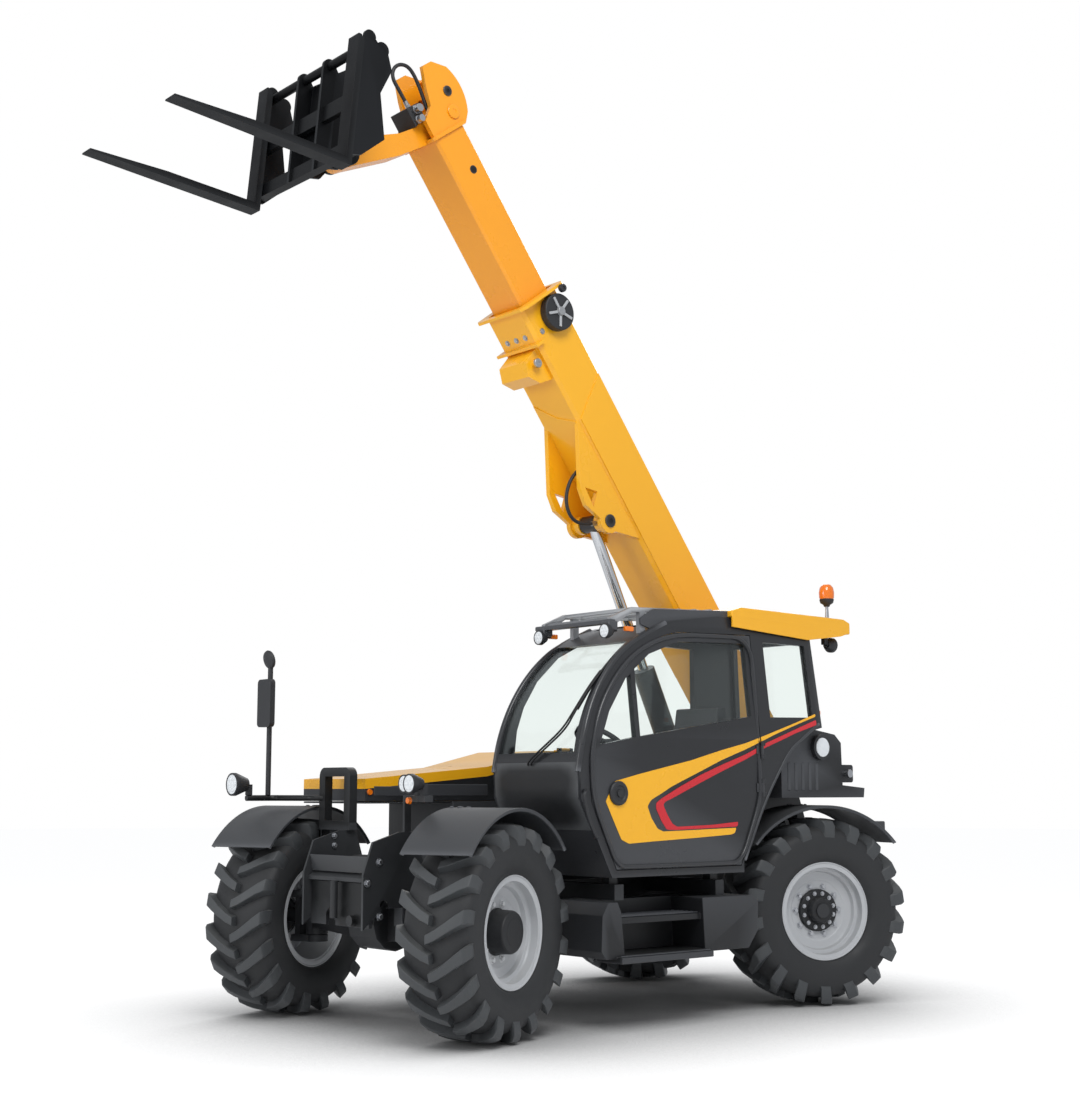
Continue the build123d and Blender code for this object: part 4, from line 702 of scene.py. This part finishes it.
# Moulded polypropylene cowl under the windscreen: soft grey-black with a deep leather grain.
cowl_grey = enamel("grained grey polypropylene", "#1D1E20", "#27282A", 90, 0.42, 0.54, 0.7, 3.0, edge="#5E6062",
                   shine=0.4)
cowl_low, cowl_tall, cowl_right, cowl_wide, cowl_fold = 1.25, 0.43, 0.29, 0.835, 1.45
bm = bmesh.new()
bmesh.ops.create_grid(bm, x_segments=10, y_segments=8, size=1.0)
for v in bm.verts:
    # a sloping lower part, a nearly upright one over the fold, and a swell that dies out at the edges
    u, w = (v.co.x + 1) / 2, (v.co.y + 1) / 2
    z = cowl_low + cowl_tall * w
    x = 0.6 + (z - 0.95) * 0.52 if z < cowl_fold else 0.86 + (z - cowl_fold) * 0.0435
    swell = 0.004 + 0.012 * (1 - abs(2 * u - 1) ** 6) * (1 - abs(2 * w - 1) ** 4)
    v.co = at(x + swell, cowl_right + cowl_wide * u, z)
bmesh.ops.recalc_face_normals(bm, faces=bm.faces)
if sum(f.normal.x for f in bm.faces) < 0:
    bmesh.ops.reverse_faces(bm, faces=bm.faces)
bmesh.ops.solidify(bm, geom=list(bm.faces), thickness=0.006)
fit(bm, "screen_cowl", cowl_grey, "chassis", 40.0)

# Seat of black vinyl over foam on a steel base, steering console and wheel of moulded plastic.
# Moulded polypropylene: dull black-grey with a fine even grain.
cab_plastic = enamel("moulded black polypropylene", "#232427", "#2B2C2F", 200, 0.5, 0.6, 0.3, 3.0)
eased("seat_base", cab_plastic, 0.02, 3)
eased("steering_console", cab_plastic, 0.006)
# Vinyl over foam: leather-grained and half matt, with sewn channels.
seat_vinyl = enamel("grained black vinyl over foam", "#1F2023", "#292A2D", 70, 0.48, 0.6, 0.6, 2.5)
cushion_low, cushion_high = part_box("seat_cushion")
middle, reach = (cushion_low + cushion_high) / 2, (cushion_high - cushion_low) / 2
bm = bmesh.new()
bmesh.ops.create_cube(bm, size=2.0)
bmesh.ops.subdivide_edges(bm, edges=bm.edges, cuts=11, use_grid_fill=True)
for v in bm.verts:
    # sides drawn in at the corners, two sewn channels along the top, and a crown between them
    u, w, h = v.co
    pull = (1 - 0.07 * (abs(u) ** 6 + abs(w) ** 6) * (1 - h * h * 0.5)) * (1 - 0.04 * abs(h) ** 4)
    seam = 0.1 if abs(abs(w) - 0.55) < 0.1 and abs(u) < 0.8 and h > 0.9 else 0.0
    crown = 0.72 + 0.28 * (1 - u ** 4) * (1 - w ** 4) - seam
    v.co = (middle.x + reach.x * u * pull, middle.y + reach.y * w * pull,
            middle.z + reach.z * (h * crown if h > 0 else h))
bmesh.ops.recalc_face_normals(bm, faces=bm.faces)
cushion = fit(bm, "seat_pad", seat_vinyl, "chassis", 80.0, "seat_cushion")
rounding = cushion.modifiers.new("soft edges", "SUBSURF")
rounding.levels = rounding.render_levels = 1

# ---------------------------------------------------------------- door
# Hinged door of the same sheet and tube, with a bright yellow and red flank panel in vinyl film and a round
# rotary lock.
eased("cab_door", cab_grey, 0.006, body="door")
door_edge = [(-0.79, 2.565), (-0.786, 2.2), (-0.786, 1.6), (-0.786, 1.45), (-0.69, 1.23), (-0.584, 1.018),
             (-0.4, 1.014), (0.4, 1.014), (0.552, 1.016), (0.64, 1.19), (0.757, 1.43), (0.773, 1.6),
             (0.772, 1.76), (0.7, 2.0), (0.56, 2.2), (0.38, 2.37), (0.15, 2.49), (-0.09, 2.546), (-0.4, 2.556)]
tube([at(x, side_y(z) + 0.004, z) for x, z in door_edge], 0.016, "door_frame_tube", cab_grey, "door", closed=True)

# Cast vinyl film: flat saturated colour with a wet gloss, laid smooth on the enamel.
film_yellow = enamel("gloss yellow vinyl film", "#F7B61E", "#F5B21A", 800, 0.22, 0.3, 0.02, 9.0, coat=0.2)
film_red = enamel("gloss red vinyl film", "#D2202C", "#C81C28", 800, 0.22, 0.3, 0.02, 9.0, coat=0.2)
yellow_flank = [(0.575, 1.56), (0.345, 1.61), (0.115, 1.655), (-0.115, 1.7), (-0.405, 1.771), (-0.65, 1.824),
                (-0.86, 1.883), (-1.185, 1.977), (-1.41, 2.048), (-1.41, 2.028), (-1.185, 1.962),
                (-0.965, 1.893), (-0.65, 1.782), (-0.405, 1.704), (-0.21, 1.63), (-0.02, 1.56), (0.07, 1.525),
                (0.165, 1.48), (0.255, 1.44), (0.288, 1.4), (0.255, 1.325), (0.2, 1.255), (0.15, 1.235),
                (-0.11, 1.24), (-0.545, 1.25), (-0.53, 1.215), (-0.49, 1.205), (-0.11, 1.187), (0.255, 1.172),
                (0.455, 1.162), (0.52, 1.188), (0.59, 1.313), (0.655, 1.433)]
red_band = [(-1.41, 2.005), (-1.18, 1.932), (-0.855, 1.828), (-0.65, 1.748), (-0.405, 1.672), (-0.21, 1.606),
            (-0.02, 1.53), (0.16, 1.45), (0.21, 1.42), (0.212, 1.385), (0.165, 1.305), (0.115, 1.246),
            (0.03, 1.243), (-0.555, 1.258), (-0.565, 1.29), (-0.3, 1.272), (0.02, 1.264), (0.065, 1.285),
            (0.11, 1.345), (0.146, 1.408), (0.128, 1.428), (0.07, 1.447), (-0.02, 1.482), (-0.21, 1.555),
            (-0.405, 1.628), (-0.65, 1.714), (-0.855, 1.798), (-1.18, 1.905), (-1.41, 1.968)]
door_rear, door_gap = -0.803, 0.006
film_corner, film_thick = 0.012, 0.0012


def film(outline, proud, name, material):
    """A thin film on the cab's left side, cut from its outline and parted at the door's rear edge."""
    for body, keep in (("door", 1), ("chassis", -1)):
        bm = bmesh.new()
        bm.faces.new([bm.verts.new(at(x, 0, z)) for x, z in outline])
        bmesh.ops.bevel(bm, geom=bm.verts, offset=film_corner, offset_type="OFFSET", segments=3, profile=0.5,
                        affect="VERTICES", clamp_overlap=True, material=-1)
        split(bm, at(door_rear + door_gap * keep, 0, 0), (-keep, 0, 0), clear_outer=True)
        for z in (waist, 1.95, 2.05):
            split(bm, (0, 0, z), (0, 0, 1))
        for v in bm.verts:
            v.co.y = side_y(v.co.z) + proud
        bmesh.ops.triangulate(bm, faces=[f for f in bm.faces if len(f.verts) > 4])
        bm.normal_update()
        if sum(f.normal.y * f.calc_area() for f in bm.faces) < 0:
            bmesh.ops.reverse_faces(bm, faces=bm.faces)
        bmesh.ops.solidify(bm, geom=list(bm.faces), thickness=film_thick)
        fit(bm, name + "_" + body, material, body, sharp=None)


film(yellow_flank, 0.0024, "flank_yellow", film_yellow)
film(red_band, 0.0026, "flank_red", film_red)


def turned(section, place, name, material, body="chassis", sharp=35.0, steps=40, stands_for=None):
    """A round piece turned from its section, as height and radius, and stood at a place with Y outwards."""
    bm = lathe(section, steps, closed=False)
    bmesh.ops.transform(bm, matrix=place, verts=bm.verts)
    fit(bm, name, material, body, sharp, stands_for)


# Round black lock with its push button.
turned([(0.0, 0.0), (0.0, 0.078), (0.012, 0.078), (0.02, 0.07), (0.022, 0.052), (0.016, 0.046), (0.016, 0.026),
        (0.026, 0.024), (0.027, 0.0)], Matrix.Translation(at(0.548, 1.1515, 1.483)), "door_lock", cab_plastic, "door",
       sharp=32.0)

# Grab rail on the cab's front corner and the pressed trim strip round the rear wheel's opening.
tube([at(*spot) for spot in ((0.815, 1.135, 1.5), (0.85, 1.18, 1.5), (0.868, 1.185, 1.46), (0.835, 1.185, 1.33),
                             (0.775, 1.185, 1.22), (0.745, 1.18, 1.2), (0.73, 1.135, 1.2))], 0.011, "grab_rail",
     cab_plastic)
trim = [(-1.44, 1.975), (-1.345, 1.925), (-1.235, 1.86), (-1.11, 1.785), (-0.985, 1.625), (-0.855, 1.445),
        (-0.735, 1.23), (-0.63, 1.03)]
tube([at(x, side_y(z) - 0.004, z) for x, z in trim], 0.012, "wheel_opening_trim", fender_grey)

# ---------------------------------------------------------------- cab roof and guard
# Moulded cap on the roof's rear half, painted yellow, with a skirt down its side, and a guard of welded bars
# over the front half in silver-grey enamel. A dark plate closes the gap between the guard and the roof.
eased("cab_roof", boom_yellow, 0.012, 3)


def side_plate(outline, y, thickness, name, material):
    """A flat plate seen from the left side, cut from its outline, its outer face at y."""
    bm = bmesh.new()
    bm.faces.new([bm.verts.new(at(x, y, z)) for x, z in outline])
    inner = bmesh.ops.extrude_face_region(bm, geom=list(bm.faces))["geom"]
    bmesh.ops.translate(bm, vec=(0, -thickness, 0), verts=[v for v in inner if isinstance(v, bmesh.types.BMVert)])
    bmesh.ops.recalc_face_normals(bm, faces=bm.faces)
    round_edges(bm, list(bm.edges), 0.003)
    fit(bm, name, material, "chassis")


side_plate([(-0.606, 2.715), (-0.606, 2.632), (-1.4, 2.583), (-1.765, 2.63), (-1.864, 2.66), (-1.864, 2.705)],
           1.0893, 0.014, "roof_skirt", boom_yellow)
side_plate([(-0.602, 2.69), (-0.5, 2.69), (-0.06, 2.63), (0.15, 2.575), (0.235, 2.6), (0.24, 2.64),
            (0.11, 2.712), (-0.602, 2.746)], 1.047, 0.016, "roof_side_plate", cab_grey)

# Silver-grey enamel on welded bar: a dull metallic grey, mottled at the welds and bright on its edges.
guard_steel = enamel("silver-grey enamel on welded bar", "#8E9093", "#77797C", 120, 0.34, 0.46, 0.05, 6.0,
                     metallic=0.3, edge="#C4C6C8")
eased("roof_grille", guard_steel, 0.004)
bm = bmesh.new()
# black cross member and two lamp feet along the roof's front edge
block(bm, at(0.485, 0.66, 2.604), (0.06, 0.76, 0.032), 0.008)
for y in (0.3425, 1.005):
    block(bm, at(0.48, y, 2.578), (0.08, 0.085 if y < 1 else 0.08, 0.06), 0.008)
fit(bm, "roof_front_member", cab_grey)

# ---------------------------------------------------------------- lamps and beacon
# Work lamps of moulded black plastic with a clear domed lens over a bright reflector, and an amber beacon
# on a zinc-plated stalk. Small amber markers stand at the roof's corners, on a lamp arm and on the hood.
eased("work_lamps", cab_plastic, 0.006)
# Acrylic over bright aluminium: nearly white, glassy and wavy, with brighter cells behind it.
lamp_glass = enamel("clear acrylic over an aluminised reflector", "#EEF1F3", "#D9DEE1", 30, 0.08, 0.18, 0.6, 14.0,
                    coat=0.6)
lamp_cell = enamel("aluminised reflector cell", "#E2E5E7", "#D6DADC", 12, 0.15, 0.3, 0.2, 4.0)
for number, (x, y, z, radius, facing) in enumerate([
    # place, radius, and which way it faces
    (1.95, 0.815, 1.542, 0.06, 1), (1.9, 0.69, 1.542, 0.056, 1), (2.12, -1.0, 1.542, 0.078, 1),
    (0.53, 0.342, 2.54, 0.05, 1), (0.53, 1.012, 2.54, 0.05, 1), (-1.76, 1.0, 2.57, 0.055, -1),
], 1):
    bezel = lathe([(0.0, radius * 0.99), (0.006, radius * 0.99), (0.007, radius * 0.86), (0.001, radius * 0.84)], 40)
    cover = lathe([(0.001, 0.0), (0.001, radius * 0.85), (0.005, radius * 0.84), (0.008, radius * 0.5), (0.009, 0.0)],
                  40, closed=False)
    cells = bmesh.new()
    for k in range(7):
        # reflector cells, six round the last one in the middle
        a = tau * k / 6
        off = 0.0 if k == 6 else radius * 0.52
        spot = spun((off * cos(a), 0.0095, off * sin(a)), -pi / 2, "X")
        peg(cells, spot, radius * 0.2, radius * 0.14, 0.003, 6)
    place = spun(at(x, y, z), -facing * pi / 2, "Z")
    for bm, word, material, slot in ((bezel, "bezel", cab_plastic, "frame_black"),
                                     (cover, "lens", lamp_glass, "lamp_lens"),
                                     (cells, "cells", lamp_cell, "lamp_lens")):
        bmesh.ops.transform(bm, matrix=place, verts=bm.verts)
        fit(bm, "lamp_%d_%s" % (number, word), material, "chassis")
turned([(0.0, 0.0), (0.0, 0.07), (0.006, 0.068), (0.01, 0.04), (0.011, 0.0)],
       Matrix.Translation(at(-1.59, 1.0365, 1.813)), "rear_round_lens", lamp_glass, steps=48)

# Amber polycarbonate: a clean orange, glassy, with a slight ripple.
amber_dome = enamel("amber polycarbonate dome", "#F0820F", "#E86A08", 60, 0.1, 0.18, 0.25, 16.0, coat=0.6)
beacon_at = spun(at(-1.74, 0.98, 2.761), pi / 2, "X")
for word, section, material, slot, stands_for in (
    # height above the roof cap, radius
    ("stalk", [(0.001, 0.0), (0.001, 0.024), (0.01, 0.024), (0.014, 0.015), (0.105, 0.011), (0.107, 0.0)],
     zinc, "rod_chrome", None),
    ("base", [(0.098, 0.0), (0.098, 0.02), (0.112, 0.026), (0.126, 0.048), (0.15, 0.054), (0.156, 0.05),
              (0.156, 0.0)], cab_plastic, "frame_black", None),
    ("dome", [(0.15, 0.0), (0.152, 0.048), (0.165, 0.055), (0.205, 0.057), (0.24, 0.05), (0.262, 0.032),
              (0.269, 0.0)], amber_dome, "beacon_amber", "beacon"),
):
    turned(section, beacon_at, "beacon_" + word, material, sharp=45.0, stands_for=stands_for)
bm = bmesh.new()
for spot in ((0.36, 1.06, 2.56), (0.36, 0.29, 2.56), (-1.48, 1.075, 2.06)):
    block(bm, at(*spot), (0.075, 0.03, 0.034), 0.008)
peg(bm, spun(at(1.905, 0.745, 1.44), pi / 2, "Y"), 0.022, 0.018, 0.02, 24)
fit(bm, "amber_markers", amber_dome, "chassis")
bm = bmesh.new()
peg(bm, spun(at(1.435, -0.354, 1.49), -pi / 2, "X"), 0.022, 0.018, 0.014, 24)
fit(bm, "hood_marker", amber_dome, "hood")

# ---------------------------------------------------------------- guard and mirror
# Welded tube guard on the right nose plate, and a mirror in a moulded housing on its stalk with a
# small round wide-angle mirror above it.
eased("front_guard", frame_black, 0.008)
eased("mirror", cab_plastic, 0.01, 3)
# Silvered glass: a perfect cold mirror.
mirror_glass = enamel("silvered mirror glass", "#C9D2D8", "#BEC8CF", 300, 0.02, 0.04, 0.0, 9.0, metallic=1.0)
bm = bmesh.new()
glass_place = spun(at(1.849, -1.0, 2.1), -pi / 2, "Y") @ Matrix.Diagonal((0.29, 0.135, 1.0, 1.0))
bmesh.ops.create_grid(bm, x_segments=1, y_segments=1, size=0.5, matrix=glass_place)
bmesh.ops.solidify(bm, geom=list(bm.faces), thickness=0.002)
fit(bm, "mirror_glass", mirror_glass, "chassis", sharp=None)
turned([(0.0, 0.0), (0.0, 0.062), (0.01, 0.066), (0.022, 0.06), (0.034, 0.036), (0.038, 0.0)],
       spun(at(1.842, -1.0, 2.405), -pi / 2, "Z") @ Matrix.Rotation(radians(-14), 4, "X"), "round_mirror",
       cab_plastic, steps=36)

# ---------------------------------------------------------------- boom
# Two-stage box boom of folded high-tensile plate, welded and sprayed gloss yellow: the outer stage with its
# flange, ears and hook plates, the inner stage and the head. Pins are black and plated.
boom_pivot = Vector(next(j for j in frame["joints"] if j["name"] == "boom_lift")["pos_m"])
boom_lean = radians(53.3)
square = Vector((-sin(boom_lean), 0, cos(boom_lean)))


def boom_at(t, y, n):
    """A point t along the boom from its pivot, y to the left and n square to it, upwards."""
    return Vector((boom_pivot.x + t * cos(boom_lean) - n * sin(boom_lean), y,
                   boom_pivot.z + t * sin(boom_lean) + n * cos(boom_lean)))


# Amber-yellow enamel: the same gloss as the outer stage's, a shade redder, and with no dust yet.
stage_yellow = enamel("gloss amber-yellow enamel on steel", "#F2A018", "#EC9712", 800, 0.24, 0.34, 0.035, 9.0,
                      coat=0.25)
eased("boom_outer", boom_yellow, 0.004, body="boom")
eased("boom_inner", stage_yellow, 0.006, body="boom_slide")
eased("boom_head", stage_yellow, 0.006, body="boom_slide")
# Blackened pin steel: oily dark metal, grey where it is turned to an edge.
pin_black = enamel("blackened steel pin", "#232325", "#2E2D2E", 60, 0.34, 0.46, 0.1, 3.0, metallic=0.6,
                   edge="#6A6A6C")


def pin_end(t, y, n, radius, reach, name, material, body="boom"):
    """Turned end of a pin with its keeper bolt, standing on the boom's left or right side."""
    bm = lathe([(0.0, 0.0), (0.0, radius), (reach * 0.75, radius), (reach, radius * 0.88), (reach, radius * 0.35),
                (reach * 0.8, radius * 0.33), (reach * 0.8, 0.0)], 36, closed=False)
    if y < 0:
        mirror_y(bm, bm.verts)
    bmesh.ops.transform(bm, matrix=Matrix.Translation(boom_at(t, y, n)), verts=bm.verts)
    fit(bm, name, material, body)


for hand, word in ((1, "_left"), (-1, "_right")):
    pin_end(2.2, hand * 0.19, -0.385, 0.048, 0.012, "ear_pin" + word, pin_black)
    pin_end(3.47, hand * 0.185, -0.3, 0.034, 0.018, "hook_pin" + word, zinc)
    pin_end(5.413, hand * 0.17, 0.139, 0.036, 0.01, "head_pin" + word, pin_black, body="boom_slide")
    pin_end(5.27, hand * 0.17, 0.1, 0.05, 0.014, "sheave_boss" + word, stage_yellow, "boom_slide")
    # a thin black disc in each of the head's chain holes: painted shade standing for the hole's dark inside
    pin_end(4.86, hand * 0.1702, 0.02, 0.03, 0.003, "chain_hole_painted_shade" + word, pin_black, body="boom_slide")

# Bolts of the wear pads round the flange.
pad_bolt = (0.026, 0.01, 0.003)     # across flats, reach, washer
bm = bmesh.new()
for hand in (1, -1):
    for n in (-0.13, -0.045, 0.045, 0.13):
        hex_bolt(bm, boom_at(3.64, hand * 0.2, n), (0, hand, 0), *pad_bolt)
for y in (-0.1, 0.0, 0.1):
    hex_bolt(bm, boom_at(3.65, y, -0.215), -square, *pad_bolt)
    hex_bolt(bm, boom_at(3.65, y, 0.19), square, *pad_bolt)
fit(bm, "pad_bolts", zinc, "boom")

# ---------------------------------------------------------------- hose reel and head hydraulics
# Cable reel of moulded black plastic on the flange's left with ribs on its cover, the valve block on the nose
# with its plated couplers, and the two hydraulic hoses of black rubber over wire braid.
eased("hose_reel", cab_plastic, 0.012, 3, body="boom")
bm = bmesh.new()
reel_middle = boom_at(3.695, 0.27, 0.05)
for k in range(5):
    spoke = spun(reel_middle, tau * k / 5 + 0.3, "Y") @ Matrix.Translation((0.072, 0.005, 0))
    bmesh.ops.create_cube(bm, size=1.0, matrix=spoke @ Matrix.Diagonal((0.082, 0.012, 0.02, 1.0)))
peg(bm, spun(reel_middle + Vector((0, 0.012, 0)), -pi / 2, "X"), 0.036, 0.03, 0.024, 28)
round_edges(bm, list(bm.edges), 0.003, 1, clamp_overlap=True)
fit(bm, "reel_ribs", guard_steel, "boom")
pin_end(3.83, 0.28, 0.15, 0.03, 0.03, "reel_guide", cab_plastic)
eased("head_valve", cab_plastic, 0.006, body="boom_slide")
bm = bmesh.new()
for y, reach in ((0.06, 0.06), (-0.02, 0.045)):
    # stepped couplers on the block's top
    for low, high, radius in ((0.004, reach * 0.55, 0.0235), (reach * 0.55, reach * 0.9, 0.0205)):
        peg(bm, stand(boom_at(5.39, y, -0.115) + square * (low + high) / 2, square), radius, radius, high - low, 28)
for t, n, steps in ((5.405, -0.165, ((0.0, 0.02, 0.034, 6), (0.02, 0.062, 0.028, 28))),
                    (5.338, -0.185, ((0.0, 0.018, 0.032, 6), (0.018, 0.055, 0.025, 28)))):
    # bleed and return couplers on the block's left face, each on a hexagon
    for low, high, radius, sides in steps:
        place = spun(boom_at(t, 0.124 + (low + high) / 2, n), -pi / 2, "X")
        peg(bm, place, radius, radius, high - low, sides)
round_edges(bm, corners_over(bm, 40), 0.002)
fit(bm, "head_couplers", zinc, "boom_slide")

# Hose cover rubber: matt black with the fine print of its cloth wrap.
hose_rubber = enamel("black rubber hose cover", "#1C1C1E", "#28282A", 30, 0.5, 0.62, 0.5, 2.5)
hose_thick = 0.026
for name, body, y, route, length, lay in (
    # points along the boom and square to it, then the hose's length and lay
    ("head_hose", "boom_slide", 0.11, [(5.1862, -0.062), (5.35, -0.062), (5.52, -0.02), (5.664, -0.014),
                                       (5.72, -0.073), (5.72, -0.151), (5.664, -0.207), (5.552, -0.2),
                                       (5.4402, -0.2)], 0.92, "loose"),
    ("ear_hose", "boom", 0.118, [(2.64, -0.2232), (2.64, -0.385), (2.59, -0.53), (2.49, -0.625),
                                 (2.37, -0.64), (2.278, -0.557), (2.2295, -0.4505)], 0.8, "hanging"),
):
    spots = [boom_at(t, y, n) for t, n in route]
    line = smooth_line(name + "_line", spots, hose_thick / 2, roundness=5, steps=12)
    line.materials.append(hose_rubber)
    run = bpy.data.objects.new(name + "_run", line)
    bpy.context.scene.collection.objects.link(run)
    bm = bmesh.new()
    for start, after in ((spots[0], spots[1]), (spots[-1], spots[-2])):
        # crimped ferrule on a hexagon, at each end
        toward = (after - start).normalized()
        for low, high, radius, sides in ((0.002, 0.018, 0.0195, 6), (0.018, 0.048, 0.0165, 24)):
            peg(bm, stand(start + toward * (low + high) / 2, toward), radius, radius, high - low, sides)
    ferrules = fit(bm, name + "_ferrules", zinc, body)
    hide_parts(name)
    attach(run, body)

# ---------------------------------------------------------------- hitch, carriage and forks
# Welded quick hitch and pallet-fork carriage of black-painted plate and bar, with forged forks hung on its
# top bar. The paint is a deep black that shows little of the sky, duller and scaly on the forgings.
carriage_black = enamel("semi-gloss black enamel on welded plate", "#08090B", "#0F1012", 300, 0.34, 0.46,
                        edge="#2E3033", dust="#161616", shine=0.15)
fork_black = enamel("black paint on forged fork steel", "#08090B", "#101012", 160, 0.42, 0.56, 0.2, 6.0,
                    edge="#303234", shine=0.15)
eased("quick_hitch", carriage_black, 0.004, body="carriage")
eased("fork_carriage", carriage_black, 0.003, body="carriage")
eased("forks", fork_black, 0.004, body="carriage")

# ---------------------------------------------------------------- lift cylinder
# Black-painted barrel with a turned gland, and a hard-chromed rod with a forged eye on the boom's pin.
eased("lift_barrel", frame_black, 0.004, body="lift_barrel")
# Hard chrome on ground steel: a bright hard mirror, drawn out a little by the grinding.
chrome = enamel("hard-chromed ground steel", "#D6D8DA", "#C9CBCE", 500, 0.1, 0.17, 0.02, 4.0, metallic=1.0)
rod = eased("lift_rod", chrome, 0.003, body="lift_rod")
rod.data.materials.append(pin_black)
eye, eye_reach = boom_at(2.2, 0.0, -0.385), 0.2
for face in rod.data.polygons:
    if (face.center - eye).length < eye_reach:
        face.material_index = 1
